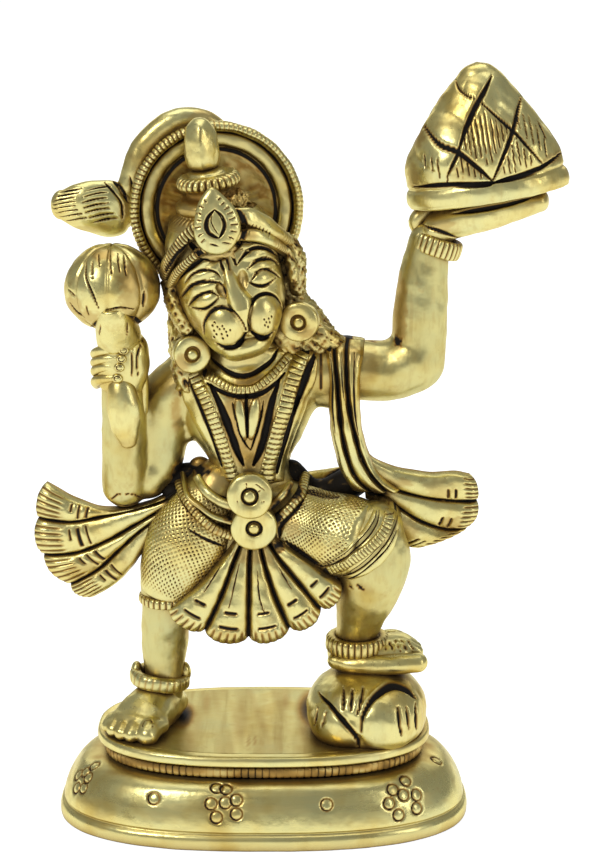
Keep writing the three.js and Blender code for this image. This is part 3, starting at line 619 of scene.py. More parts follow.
def capped(rows, wax, inner):
    """A closed form from one open grid of points: a fan of triangles joins its border to a single
    point inside the casting."""
    n, m = rows.shape[:2]
    number = np.arange(n * m).reshape(n, m)
    quads = np.stack([number[:-1, :-1], number[:-1, 1:], number[1:, 1:], number[1:, :-1]], -1)
    rim = np.concatenate([number[0, :-1], number[:-1, -1], number[-1, :0:-1], number[:0:-1, 0]])
    tris = np.stack([np.roll(rim, -1), rim, np.full(len(rim), n * m)], -1)
    return faced_out([np.vstack([rows.reshape(-1, 3), inner]), quads.reshape(-1, 4), tris,
                      np.append(wax.reshape(-1), 0)])


def along(flat, line):
    """For each place of the front view: its distance from `line`, below nought on the left-hand side of
    the way the line runs, and how far along the line it is, both in millimetres."""
    run = run_along(smooth(line, 10 * len(line)))
    off, at = np.full(len(flat), 1e9), np.zeros(len(flat))
    for k, (way, t, apart) in enumerate(spans(flat, line, 10)):
        gap = np.linalg.norm(apart, axis=1)
        nearer = gap < np.abs(off)
        side = np.sign(way[1] * apart[:, 0] - way[0] * apart[:, 1])
        off = np.where(nearer, gap * side, off)
        at = np.where(nearer, run[k] + t * (run[k + 1] - run[k]), at)
    return off, at


def cord(flat, line, half, high, pitch, cut=0.25):
    """A raised band along a line: its height is high * (1 - (d / half)^4)^0.5, and every `pitch` a thin
    stroke is cut across it. Gives the rise, the wax and how far in from its border a place lies."""
    off, at = along(flat, line)
    body = np.clip(1 - (off / half) ** 4, 0, 1)
    across = comb(2 * np.pi * at / pitch, 9) * ease(body, 0.1, 0.5)
    return high * body ** 0.5 - cut * across, ease(across, 0.25, 0.8), body


def laid_over(body, edge, columns):
    """A grid over the front of a body between a left and a right border, given as rows of height, left
    and right: its places in the front view, how far forward the body is there, made smooth, and how far
    in from the border each of them lies."""
    share, wide = np.linspace(0, 1, columns), edge[:, 2:] - edge[:, 1:2]
    flat = np.stack([edge[:, 1:2] + wide * share, np.repeat(edge[:, :1], columns, 1)], -1).reshape(-1, 2)
    skin = front_of(body, flat).reshape(len(edge), columns)
    for _ in range(4):
        beside = skin[:-2, 1:-1] + skin[2:, 1:-1] + skin[1:-1, :-2] + skin[1:-1, 2:]
        skin[1:-1, 1:-1] = (beside + 2 * skin[1:-1, 1:-1]) / 6
    ends = np.minimum(edge[:, 0] - edge[0, 0], edge[-1, 0] - edge[:, 0])
    return flat, skin, np.minimum(np.minimum(share, 1 - share)[None] * wide, ends[:, None])


def carved(grid, rise, wax, strokes, free, inner, lift=0.34, deep=0.55):
    """A carved skin over such a grid, `lift` above the body in its middle and sunk into it at the
    border. The strokes are cut where `free` is 1, and not where it is 0."""
    flat, skin, border = grid
    for line, width, share in strokes:
        mark = hit_by(flat, line, width, 0.35) * free
        rise, wax = rise - deep * share * ease(mark, 0, 0.8), np.maximum(wax, ease(mark, 0.05, 0.4))
    out = (lift + rise.reshape(skin.shape)) * ease(border, 0.1, 1.3) - 0.5 * (1 - ease(border, 0, 0.7))
    across, tall = flat.T.reshape(2, *skin.shape)
    return capped(np.dstack([across, skin - out, tall]), wax.reshape(skin.shape) * ease(border, 0.1, 0.8),
                  inner)


CHEST_EDGE = [  # height, left and right
    (37.6, -6.4, 3.6), (40, -7.0, 3.9), (44, -9.0, 4.9), (48, -11.0, 6.4), (51, -12.2, 7.4),
    (54, -12.0, 8.4), (57, -9.6, 8.4), (58.6, -7.0, 6.5)]
LEFT_CHAIN = [
    (-10.6, 55.4), (-9.6, 53.4), (-8.3, 50.8), (-7.3, 48.5), (-6.5, 46.2), (-5.8, 44.0), (-5.3, 42.2),
    (-4.8, 40.2), (-4.2, 37.6)]
RIGHT_CHAIN = [
    (5.9, 57.6), (5.2, 55.7), (4.4, 53.2), (3.8, 51.4), (3.2, 49.2), (2.6, 47.2), (2.0, 45.0), (1.5, 43.1),
    (1.0, 41.0), (0.6, 38.0)]
NECK_BAND = [
    (-8.2, 54.4), (-6.9, 53.9), (-5.7, 53.2), (-4.2, 52.6), (-2.7, 52.4), (-1.2, 52.6), (0.3, 53.5),
    (1.5, 54.5), (2.8, 55.8), (3.8, 56.8)]
edge = smooth(CHEST_EDGE, 190)
grid = laid_over(flesh, edge, 170)
flat = grid[0]
rise, wax, on_cord = (np.max(marks, 0) for marks in zip(
    cord(flat, LEFT_CHAIN, half=0.95, high=0.5, pitch=0.8),
    cord(flat, RIGHT_CHAIN, half=1.12, high=0.55, pitch=0.82),
    cord(flat, NECK_BAND, half=0.62, high=0.5, pitch=0.62)))
free = 1 - on_cord ** 0.3
strokes = [
    ([(-11.4, 55.0), (-10.2, 52.6), (-9.2, 50.4), (-8.2, 47.9), (-7.4, 45.8), (-6.7, 43.4), (-6.0, 40.6)],
     0.95, 0.7),
    ([(7.9, 57.6), (6.7, 55.1), (6.0, 53.2), (5.4, 51.4), (4.7, 49.2)], 1.5, 1.0),
    ([(5.3, 51.0), (4.3, 48.2), (3.5, 45.4), (2.8, 42.8), (2.1, 39.6)], 1.1, 0.9),
    ([(2.5, 53.6), (1.5, 50.9), (1.0, 48.6), (0.5, 46.2), (0.0, 44.3), (-0.5, 42.8), (-1.3, 41.0)],
     1.5, 1.2),
    ([(-7.5, 52.9), (-6.2, 50.4), (-5.3, 48.0), (-4.4, 45.4), (-3.7, 43.2), (-2.8, 41.0)], 1.55, 1.2),
    ([(-8.0, 53.1), (-6.2, 52.2), (-4.6, 51.6), (-2.7, 51.4), (-0.9, 51.6), (0.7, 52.3), (2.1, 53.4),
      (3.3, 54.6)], 0.95, 0.9),
    ([(-7.6, 56.4), (-6.4, 55.6), (-5.0, 54.8), (-3.4, 54.3), (-1.6, 54.5), (-0.1, 55.3), (1.4, 56.4),
      (2.3, 58.0)], 0.95, 0.9),
    ([(-2.3, 52.0), (-2.3, 50.0), (-2.2, 48.0), (-2.15, 45.4)], 0.78, 1.0),
    ([(-4.3, 50.6), (-3.9, 48.6), (-3.2, 45.9), (-2.4, 44.2), (-1.7, 43.3)], 0.4, 0.7),
    ([(0.2, 50.8), (-0.1, 48.9), (-0.6, 46.9), (-1.2, 44.8), (-1.7, 43.3)], 0.42, 0.7)]
lobes = np.maximum(swell(flat, (-3.05, 48.2), (0.85, 3.4), 8), swell(flat, (-1.25, 48.3), (0.85, 3.4), -8))
rise = rise + 0.5 * lobes ** 0.6 - 0.35 * swell(flat, (-2.2, 46.5), (4.6, 6.6)) * (lobes <= 0)
film = 0.36 * ease(swell(flat, (-1.8, 47.5), (4.8, 9.0)), 0.05, 0.5)
wax = np.maximum(wax, film * free * (lobes <= 0.35))
piece("chest", carved(grid, rise, wax, strokes, free, inner=(-2.4, 0.5, 48)), filed)

# The body sinks under the chased chest, and is then chased and waxed itself.
across, _, up = flesh[0].T
left_side, right_side = (np.interp(up, edge[:, 0], edge[:, k], -99, -99) for k in (1, 2))
inside = np.minimum.reduce([across - left_side, right_side - across, up - edge[0, 0], edge[-1, 0] - up])
inside[left_side == -99] = -1
sink = 1.1 * ease(inside, 0.7, 1.6) * ease(-outward(flesh)[:, 1], 0.0, 0.5)
flesh[0] = flesh[0] + (0, 1, 0) * sink[:, None]
flesh = engraved(flesh, [
    ([(-22.6, 35.0), (-21.2, 36.4), (-18.8, 36.2), (-17.6, 34.9)], 0.3, 0.5),
    ([(-22.6, 35.0), (-20.4, 34.3), (-17.6, 34.9)], 0.25, 0.4), ([(13.6, 24.6), (14.8, 23.8)], 0.5, 0.6),
    ([(12.6, 24.4), (13.2, 23.6)], 0.3, 0.5), ([(8.6, 57.4), (8.4, 54.6), (8.8, 50.8)], 0.45, 0.3),
    ([(-12.9, 56.4), (-12.2, 54.0), (-11.9, 51.0)], 0.7, 0.7)], deep=0.45)


def darkened_in_patches(form, spots):
    """The form darkened in wide patches: each is an ellipse of the front view, darkest in its
    middle and broken up at its border."""
    flat = form[0][:, [0, 2]]
    broken = 0.6 * uneven(form[0], 0.24) + 0.4 * uneven(form[0], 0.6)
    for middle, half, strength in spots:
        patch = swell(flat, middle, half)
        dark = strength * (0.42 if strength < 0.8 else 1)
        form[3] = np.maximum(form[3], dark * ease(patch + 0.32 * broken, 0.15, 0.75) * ease(patch, 0, 0.15))
    return form


flesh = darkened_in_patches(flesh, [((5.6, 57.6), (2.6, 2.4), 0.95), ((7.2, 57.6), (1.1, 1.0), 0.95),
                        ((16.4, 59.0), (1.6, 0.6), 1.0), ((19.7, 59.0), (0.9, 0.8), 0.95),
                        ((15.6, 55.6), (1.8, 3.4), 0.5), ((-12.0, 37.5), (2.2, 4.6), 0.9),
                        ((-8.6, 38.4), (2.6, 2.6), 0.7), ((-14.4, 53.0), (2.6, 2.6), 0.6),
                        ((-12.6, 48.5), (1.0, 5.0), 0.7), ((19.9, 64.0), (1.5, 8.5), 0.75),
                        ((21.6, 63.0), (0.4, 6.0), 0.35), ((5.2, 39.0), (1.4, 3.2), 0.6),
                        ((11.0, 19.5), (1.6, 6), 0.4), ((-11.2, 15.5), (1.2, 3.2), 0.7),
                        ((15.2, 24.0), (1.4, 1.0), 0.4)])
piece("flesh", flesh, shaded_flesh)


# ---- The left foot: it stands flat on the plate, the five toes outward, a nail cut on the large one.
left_foot = [swept([(-14.6, 3.6, 1.9, 3.1, 2.2), (-15.6, 0.6, 2.7, 3.5, 3.6), (-17.5, -3.2, 2.4, 4.0, 3.5),
                    (-19.2, -6.4, 1.5, 4.4, 2.2)], front=(0, 0, 1), square=2.2)]
for x, y, r in ((-23.2, -5.7, 1.0), (-22.3, -7.2, 1.08), (-21.0, -8.5, 1.15), (-19.4, -9.4, 1.22),
                (-17.0, -9.8, 1.65)):
    left_foot.append(swept([(x + 1.5, y + 3.4, 1.6, r * 0.9), (x + 0.5, y + 1.3, 1.75, r), (x, y, 1.2, r)],
                           around=26, step=0.2, front=(0, 0, 1)))
nail = ([(-17.8, -10.4), (-17.6, -9.2), (-16.6, -9.1), (-16.2, -10.4)], 0.3)
left_foot = engraved(fused(joined(*left_foot), voxel=0.24, rounds=3), [nail],
                     seen=lambda p: p[:, :2], front=(0, -0.5, 1), deep=0.25)
piece("left_foot", left_foot, polished)


# ---- The raised foot: it lies along the boulder, its long inner side towards the viewer and the small
# toes behind.
raised_foot = [swept([(10.9, -3.4, 10.7, 1.3, 1.5), (14, -4.9, 10.5, 1.5, 1.5), (19, -5.4, 10.6, 1.6, 1.6),
                      (23.0, -4.9, 10.9, 1.5, 1.7)], around=40),
               swept([(11.6, -1.2, 11.3, 3.2, 2), (16, -1.4, 11.6, 3.8, 2.4), (20.6, -1.2, 11.7, 3.9, 2.4)],
                     front=(0, 0, 1))]
for y, x in ((-3.0, 23.0), (-1.3, 22.9), (0.3, 22.4), (1.8, 21.7)):
    raised_foot.append(swept([(x - 4.4, y * 0.8, 12.9, 0.9), (x - 1.8, y, 12.9, 1.0), (x, y, 12.0, 0.95)],
                             around=24, step=0.2, front=(0, 0, 1)))
between_toes = [([(x, 13.9), (x + 1.0, 12.4)], 0.3) for x in (17.6, 18.6, 19.6, 20.6, 21.6)]
over_sole = ([(10.8, 9.2), (15, 8.9), (20, 9.1), (23.6, 9.6)], 0.4)
raised_foot = engraved(joined(*raised_foot), between_toes + [over_sole], deep=0.3)
piece("raised_foot", raised_foot, filed)


# ---- The anklets: a round band over each foot, cut with upright ribs, with a knob at the left one's
# sides.
def hoop(middle, radii, thick, pitch, tilt_front=0.0, lean=0.0, wide=None, deep=0.22):
    """A ribbed ring round a limb: an ellipse, tilted towards the front and leaned sideways, as a path,
    with its outer side away from the ellipse's middle and a dark valley there at every `pitch`."""
    a = np.linspace(0, 2 * np.pi, 24, endpoint=False)
    x, y = radii[0] * np.cos(a), radii[1] * np.sin(a)
    path = np.stack([x, y, -math.tan(tilt_front) * y - math.tan(lean) * x], 1)
    count = max(int(round(run_along(smooth(path, 240, True))[-1] / pitch)), 8)
    core = smooth(path, count * 6, True)
    out = unit(core)
    side = np.cross(unit(np.roll(core, -1, 0) - np.roll(core, 1, 0)), out)
    turn = np.linspace(-np.pi, np.pi, 22, endpoint=False)
    valley = comb(2 * np.pi * np.arange(len(core)) / 6, 4)[:, None] * (1 - ease(np.abs(turn), 1.0, 1.5))
    rings = about(core, side, out, (wide or thick) + 0 * valley, thick - deep * valley, turn, 0.7)
    return faced_out(closed_skin(rings + middle, valley * min(0.9, 4 * deep), True))


piece("anklets", joined(hoop((-15.7, 0, 6.8), (3.6, 3.5), 0.95, 0.9, deep=0.1, wide=1.1, lean=0.14),
                        hoop((14.1, -1.6, 13.0), (3.9, 3.7), 0.9, 0.8, wide=1.35, tilt_front=-0.06),
                        lump((-19.2, 0.6, 7.8), (0.9, 1.2, 1.4), 30, 20),
                        lump((-11.9, 0.2, 7.6), (0.9, 1.0, 1.7), 30, 20)), filed)


# ---- The bangle: a wide flat band with upright ribs round the raised wrist.
piece("bangle", hoop((25.2, -0.2, 72.9), (3.15, 3.1), 0.6, 0.72, lean=0.3, wide=1.35), filed)


# ---- The hip cloth: the plain wrapped skirt behind the apron.
hips = swept([(-1.2, 0.8, 36.4, 6.2, 4.0), (-1, 0.3, 33, 9.6, 5.6), (-1.4, 0.4, 26, 10.4, 5.4),
              (-2, 0.8, 20.5, 9.4, 4)], around=90, ends=(0.3, 1))
piece("hip_cloth", hips, filed)


# ---- The left thigh's cloth: its face is punched all over with small staggered pits like mail, and
# sinks beside the girdle.
def punched(pitch, turns, runs, deep=0.2):
    """Staggered pits: where the cosines along and round the limb multiply to more than a third, the
    face sinks. `turns` holds the first and last turn from the front that they cover, and the limb's
    radius; `runs` holds the first and last run."""
    def carve(run, turn):
        wave = np.cos(2 * np.pi * run / pitch) * np.cos(2 * np.pi * turn * turns[2] / pitch)
        pit = ease(wave, 0.3, 0.72) * between(turn, turns[0], turns[0] + 0.2, turns[1] - 0.2, turns[1])
        pit = pit * between(run, runs[0], runs[0] + 1, runs[1] - 1, runs[1])
        pit = pit * (0.72 + 0.28 * np.sin(0.9 * run + 2.2 * np.sin(2.3 * turn)))
        return -deep * pit, ease(pit, 0.25, 0.75) * 0.9
    return carve


left_thigh = swept([(-6.2, 0, 36.4, 5.0, 4.4), (-8.0, -0.4, 33, 6.2, 5.6), (-10.6, -0.7, 28.8, 6.9, 6.3),
                    (-12.6, -1, 24.5, 5.9, 5.8), (-13.8, -1, 20.6, 4.6, 4.9)], around=320, step=0.12,
                    carve=punched(0.8, (-1.35, 1.5, 5.9), (1.2, 17.5)), ends=(1, 0.3))
left_thigh = engraved(left_thigh, [
    ([(-12.4, 36.2), (-10.4, 34.6), (-7.8, 32.7), (-4.6, 31.0)], 1.7, 0.8),
    ([(-10.9, 31.9), (-8.4, 30.4), (-5.6, 28.9)], 0.6, 0.8),
    ([(-10.4, 39.4), (-9.0, 37.8), (-6.8, 36.4), (-4.6, 35.8)], 0.9, 0.8),
    ([(-8.6, 40.4), (-7.4, 38.9), (-5.4, 37.8)], 0.5, 0.6)], deep=0.3)
piece("left_thigh_cloth", darkened_in_patches(left_thigh, [
    ((-9.0, 34.0), (3.6, 2.0), 0.7), ((-7.2, 38.6), (4.0, 3.0), 0.75), ((-9.4, 39.8), (1.8, 1.4), 0.9),
    ((-14.0, 20.0), (4.5, 1.2), 0.5), ((-8.6, 24.0), (1.6, 3.0), 0.5)]), filed)


# ---- The right thigh's cloth, with the same pits and a deep fold beside the apron.
right_thigh = swept([(1.0, -0.4, 33, 5.6, 5.2), (7.6, -2.6, 30.9, 5.9, 6), (12.4, -5.1, 30.3, 6.2, 6.4),
                     (14.8, -6.3, 30.0, 5.9, 6.0)],
                    around=320, step=0.12, carve=punched(0.8, (-1.75, 1.35, 6.1), (4, 17.3)),
                    ends=(1, 0.35))
folded = engraved(right_thigh, [
    ([(2.4, 30.6), (2.7, 32.4), (4.2, 34.4), (5.4, 35.6), (6.6, 37.4)], 1.3, 0.8),
    ([(3.4, 30.0), (5.8, 28.5), (9.0, 26.7)], 1.3, 0.8),
    ([(6.0, 36.9), (8.6, 36.6), (11.4, 36.5)], 0.8, 0.5)], deep=0.3)
piece("right_thigh_cloth", darkened_in_patches(folded, [
    ((4.2, 32.6), (2.0, 2.6), 0.6), ((8.5, 26.4), (3.5, 1.6), 0.6), ((13.0, 36.0), (1.6, 0.7), 0.5)]),
    filed)


# ---- The left hem: a ribbed ring where the cloth ends over the left calf.
piece("left_hem", hoop((-13.8, -1, 19.9), (4.1, 4.5), 0.75, 0.9), filed)


# ---- The knee hem: a ribbed cord between two grooves that runs up across the right thigh to the knee.
KNEE_EDGE = [  # height, left and right
    (24.7, 10.2, 12.6), (26.0, 8.6, 15.0), (27.2, 7.8, 16.8), (28.3, 9.3, 18.2), (30.0, 11.2, 19.5),
    (31.7, 13.0, 20.2), (33.2, 14.3, 20.5), (34.5, 15.2, 20.4), (35.8, 15.9, 19.8)]
KNEE_CORD = [
    (9.6, 26.5), (10.9, 27.2), (12.3, 28.1), (14.0, 29.4), (15.6, 30.7), (16.9, 31.9), (17.8, 33.0),
    (18.4, 34.2), (18.6, 35.6)]
grid = laid_over(joined(flesh, right_thigh), smooth(KNEE_EDGE, 130), 120)
rise, wax, on_cord = cord(grid[0], KNEE_CORD, half=0.78, high=0.55, pitch=0.54, cut=0.2)
knee_hem = carved(grid, rise, wax, [
    ([(7.9, 26.9), (8.8, 27.2), (10.9, 28.5), (13.0, 30.2), (14.8, 31.9), (16.1, 33.4), (16.7, 34.6),
      (16.8, 35.8)], 1.0, 1.0),
    ([(10.8, 25.4), (12.2, 26.1), (13.9, 27.3), (15.6, 28.9), (17.3, 30.7), (18.6, 32.3), (19.4, 33.8),
      (19.6, 35.4)], 0.9, 1.0),
    ([(12.4, 25.2), (14.0, 26.4), (16.4, 28.6), (18.3, 30.6), (19.5, 32.4)], 0.3, 0.4)], 1 - on_cord ** 0.3,
    inner=(15.0, -4, 30), lift=0.4, deep=0.5)
piece("knee_hem", knee_hem, filed)


# ---- The apron: five cloth pleats that spread from the lower clasp like a fan, deep black valleys
# between them, two cuts across each and fine hatching at its fluted end.
def slab(front, back, wax):
    """A closed plate between two grids of points: the front's rows run on into the back's, and a ladder
    of faces shuts it at its first and last row."""
    rings = np.concatenate([front, back[:, ::-1]], 1)
    points, quads, _, wax = closed_skin(rings, np.concatenate([wax, wax[:, ::-1] * 0], 1))
    rows, m = rings.shape[:2]
    rung = np.arange(m // 2 - 1)
    first = np.stack([rung, m - 1 - rung, m - 2 - rung, rung + 1], -1)
    last = first[:, ::-1] + (rows - 1) * m
    return faced_out([points[:-2], np.vstack([quads, first, last]), np.zeros((0, 3), int), wax[:-2]])


def fanned(lines, thick, rise=1.1, reach=1.0, across=34, down=110, crest=2.6, cuts=(), hatch=0.9,
           valley=0.32):
    """A pleated slab between two or more curves that run from where the cloth is gathered to its edge.
    Across a pleat the face rises as 1 - |2f - 1|^crest, f being the share from one valley to the next;
    the end reaches further at each pleat's middle. Both faces meet all round, so the slab is closed. A
    cut is a share of the way down, a first and last share across a pleat, and half its width."""
    v = np.linspace(0, 1, down)[:, None]
    curves = np.array([smooth(line, down) for line in lines]).transpose(1, 0, 2)
    count = len(lines) - 1
    u = np.linspace(0, count, across * count + 1)
    k = np.minimum(u.astype(int), count - 1)
    f = u - k
    face = curves[:, k] * (1 - f)[None, :, None] + curves[:, k + 1] * f[None, :, None]
    way = unit(np.gradient(face, axis=0))
    broad = np.linalg.norm(curves[:, k + 1] - curves[:, k], axis=2)
    dome = 1 - np.abs(2 * f - 1) ** crest
    lift = rise * (0.45 + 0.55 * v) * dome[None]
    gap = np.minimum(f, 1 - f)[None] * broad
    inside = np.minimum(u, count - u)[None] > 0.5
    black = np.clip(1 - gap / valley, 0, 1) * np.where(inside, 1, 0.4)
    lift = lift - 0.55 * black
    wax = ease(black, 0.1, 0.7)
    for at, low, high, width in cuts:
        slant = at + 0.012 * np.sin(7 * k)[None]
        mark = np.clip(1 - np.abs(v - slant) / width, 0, 1) * between(f, low, low + 0.12, high - 0.12, high)
        lift, wax = lift - 0.4 * mark, np.maximum(wax, ease(mark, 0.1, 0.6))
    flutes = comb(2 * np.pi * f * 6 + 0.8 * np.sin(5 * k), 4)
    flutes = flutes * ease(v, hatch, hatch + 0.04) * ease(dome, 0.15, 0.5)
    lift, wax = lift - 0.3 * flutes, np.maximum(wax, 0.8 * flutes)
    rim = np.minimum(np.minimum(u, count - u)[None] * broad, (1 - v) * 9 + 0.02)
    round_off = 1 - np.clip(1 - rim / 0.7, 0, 1) ** 2 * 0.75
    face = face + way * (reach * dome[None] * v ** 6)[..., None]
    front = face - (0, 1, 0) * (lift - thick * 0.5 * (1 - round_off))[..., None]
    back = face + (0, 1, 0) * (thick * (0.35 + 0.65 * round_off))[..., None]
    return slab(front, back, wax)


apron = fanned([
    [(-3.2, -5.9, 31.6), (-5.8, -6.4, 27.6), (-9.6, -6.6, 23.4), (-14.1, -6.2, 19.6)],
    [(-2.5, -5.9, 31.0), (-4.1, -6.7, 27.2), (-6.1, -7.2, 21.8), (-8.6, -7.2, 16.3)],
    [(-1.6, -6.0, 31.0), (-1.9, -6.9, 27.0), (-2.0, -7.6, 21.6), (-2.1, -8.0, 15.5)],
    [(-0.6, -6.0, 31.0), (0.2, -7.1, 27.2), (1.8, -7.9, 22.2), (4.0, -8.4, 17.0)],
    [(0.2, -6.0, 31.2), (2.1, -7.4, 28.1), (5.0, -8.4, 24.6), (8.6, -9.2, 20.3)],
    [(1.0, -6.0, 31.6), (4.0, -7.6, 29.4), (7.6, -8.9, 27.2), (11.5, -9.8, 24.4)]],
    thick=2.6, rise=1.35, reach=1.1, across=30, down=105, valley=0.42,
    cuts=[(0.77, 0.22, 0.72, 0.018), (0.88, 0.2, 0.8, 0.016)])
apron = engraved(apron, [([(-3.4, 27.2), (-4.2, 23.4), (-5.0, 20.0)], 0.3, 0.5),
                         ([(-0.7, 26.0), (-0.5, 22.4), (0.4, 19.4)], 0.3, 0.5),
                         ([(-6.2, 26.4), (-8.6, 22.6)], 0.3, 0.4), ([(2.4, 26.6), (4.4, 23.2)], 0.3, 0.5)],
                         deep=0.2)
apron = darkened_in_patches(apron, [((-1.2, 28.2), (4.6, 2.0), 0.7), ((2.4, 29.6), (1.2, 1.2), 0.9),
                        ((7.0, 27.6), (3.0, 0.5), 0.5), ((-2.0, 16.4), (9.0, 1.0), 0.3)])
piece("apron", apron, filed)


# ---- The shawl's strands: it hangs from the right shoulder to the waist in three narrow folds.
strands = fanned([
    [(9.2, -0.6, 58.9), (9.3, -3.6, 57.4), (9.8, -4.7, 53.3), (9.7, -4.8, 49.6), (10.0, -4.7, 45.9),
     (10.6, -4.2, 42.7), (11.4, -3.8, 39.9), (13.2, -3.4, 36.8)],
    [(10.7, -0.6, 59.2), (10.5, -3.8, 57.4), (10.9, -4.9, 53.3), (11.2, -5.0, 49.4), (11.7, -4.9, 45.3),
     (12.5, -4.4, 41.9), (13.7, -4.0, 39.0), (16.0, -3.5, 36.5)],
    [(12.5, -0.6, 59.2), (12.2, -3.8, 57.4), (12.3, -4.9, 53.3), (12.7, -5.0, 49.4), (13.6, -4.9, 45.3),
     (14.6, -4.4, 41.9), (16.2, -4.0, 39.0), (18.4, -3.4, 36.5)],
    [(15.0, -0.4, 58.9), (14.8, -3.4, 57.2), (14.3, -4.5, 53.3), (14.3, -4.6, 49.4), (14.8, -4.5, 45.3),
     (15.9, -4.0, 41.9), (17.2, -3.6, 39.2), (20.2, -3.0, 36.6)]],
    thick=2.0, rise=0.9, reach=0, across=22, down=120, hatch=2, valley=0.5, crest=2.0)
strands = engraved(strands, [([(9.9, 57.6), (10.2, 53.6), (10.2, 49.4), (10.6, 46.0)], 0.42, 0.6),
                             ([(13.4, 57.6), (13.3, 53.4), (13.5, 49.0), (14.0, 45.6)], 0.45, 0.6),
                             ([(11.6, 57.8), (11.6, 54.0), (11.9, 51.0)], 0.3, 0.4)], deep=0.3)
piece("shawl_strands", darkened_in_patches(strands, [
    ((9.6, 58.4), (0.9, 0.8), 0.95), ((12.8, 59.5), (1.4, 0.6), 1.0), ((12.4, 57.2), (4.0, 2.0), 0.6),
    ((9.6, 52.0), (0.6, 7), 0.6), ((16.5, 37.4), (3.0, 1.2), 0.5)]), filed)


# ---- The shawl's right spread: three folds that stand out beside the raised knee, each chased with
# short strokes near its end.
right_folds = fanned([
    [(14.4, -2.0, 43.8), (16.4, -1.6, 41.3), (20.2, -1.0, 39.6), (25.0, -1.0, 38.9), (28.4, -1.0, 39.1),
     (30.6, -1.0, 38.7)],
    [(14.8, -2.0, 40.2), (17.0, -1.6, 37.8), (21.0, -1.2, 36.0), (25.4, -1.2, 35.0), (28.6, -1.2, 34.7),
     (31.8, -1.0, 34.6)],
    [(15.0, -2.0, 37.2), (18.0, -1.6, 35.4), (20.6, -1.2, 33.4), (23.6, -1.2, 31.5), (27.2, -1.0, 30.3),
     (30.4, -1.0, 30.4)],
    [(15.2, -1.6, 35.0), (17.2, -1.4, 33.4), (18.9, -1.2, 31.2), (20.0, -1.0, 29.0), (21.2, -1.0, 27.6),
     (23.0, -0.8, 27.2)]],
    thick=2.2, rise=0.9, reach=0.7, across=36, down=90,
    cuts=[(0.72, 0.5, 0.95, 0.016), (0.79, 0.5, 0.95, 0.016)], hatch=0.86)
piece("shawl_right", darkened_in_patches(right_folds, [
    ((16.6, 36.4), (2.6, 1.2), 0.9), ((21.0, 30.5), (3.2, 2.2), 0.6), ((28.0, 31.0), (2.5, 2.0), 0.6),
    ((19.5, 37.6), (3.6, 1.0), 0.6), ((26.0, 36.6), (3.0, 2.0), 0.35)]), filed)


# ---- The shawl's left spread: four longer folds under the lowered arm, chased in the same way.
left_folds = fanned([
    [(-11.6, -1.6, 38.0), (-14.0, -2.0, 36.0), (-18.4, -1.8, 34.2), (-23.4, -1.2, 33.7),
     (-28.0, -1.0, 35.1), (-32.0, -0.9, 37.4)],
    [(-11.9, -1.8, 36.6), (-15.0, -2.0, 34.9), (-19.4, -1.8, 33.6), (-24.0, -1.4, 32.4),
     (-28.6, -1.2, 31.5), (-33.4, -1.0, 31.9)],
    [(-12.2, -1.8, 35.4), (-15.4, -2.0, 33.4), (-19.0, -1.8, 31.2), (-22.8, -1.5, 28.9),
     (-27.6, -1.2, 26.8), (-32.8, -1.0, 26.2)],
    [(-12.6, -1.8, 34.2), (-15.8, -2.0, 32.2), (-18.6, -1.8, 30.0), (-21.4, -1.5, 27.3),
     (-24.6, -1.2, 24.2), (-28.9, -0.9, 21.6)],
    [(-12.8, -1.6, 32.4), (-15.4, -1.6, 30.6), (-17.2, -1.6, 27.9), (-19.2, -1.4, 24.8),
     (-21.9, -1.0, 21.8), (-25.3, -0.8, 19.6)]],
    thick=2.4, rise=0.95, reach=0.9, across=34, down=90, crest=2.2,
    cuts=[(0.70, 0.12, 0.9, 0.012), (0.75, 0.12, 0.9, 0.012), (0.80, 0.15, 0.6, 0.012)], hatch=0.84)
piece("shawl_left", darkened_in_patches(left_folds, [
    ((-13.4, 36.0), (2.4, 2.4), 0.9), ((-15.4, 32.0), (2.0, 3.4), 0.5), ((-27.0, 24.0), (3.5, 2.4), 0.4),
    ((-30.5, 31.6), (1.6, 3.2), 0.3)]), filed)


# ---- The shawl behind the waist: a rough roll that joins both spreads, dark in the inner corners of
# the arms.
behind = joined(swept([(-12, 3.4, 36.5, 2, 1.6), (-6, 6, 35, 2.4, 1.4), (-1, 6.6, 34.4, 2.4, 1.4),
                       (6, 6, 35, 2.4, 1.4), (12, 4.2, 36.6, 2, 1.6), (15.5, 0.5, 37.5, 1.8, 1.6)]),
                swept([(-13, -0.4, 35.5, 2, 1.8), (-12, 3.4, 36.5, 2, 1.6)]),
                swept([(-13.4, 1.2, 37.4, 1.9), (-10.6, 1.4, 38.0, 2.0), (-7.6, 1.2, 36.8, 2.2)]),
                swept([(4.2, 1.0, 38.6, 1.9), (6.8, 1.2, 35.9, 1.9), (9.6, 1.0, 35.6, 2.1),
                       (12.4, 0.4, 36.8, 2.4), (14.6, -0.4, 38.0, 2.0)]),
                lump((-9.4, 0.4, 40.0), (1.5, 1.1, 1.1), 30, 20))
clean = 0.42 * swell(behind[0][:, [0, 2]], (-9.3, 40.9), (1.7, 1.5))
behind[3] = (0.9 + 0.1 * uneven(behind[0], 0.3) - clean) * (behind[0][:, 1] < 4)
piece("shawl_behind", behind, rough_cast)


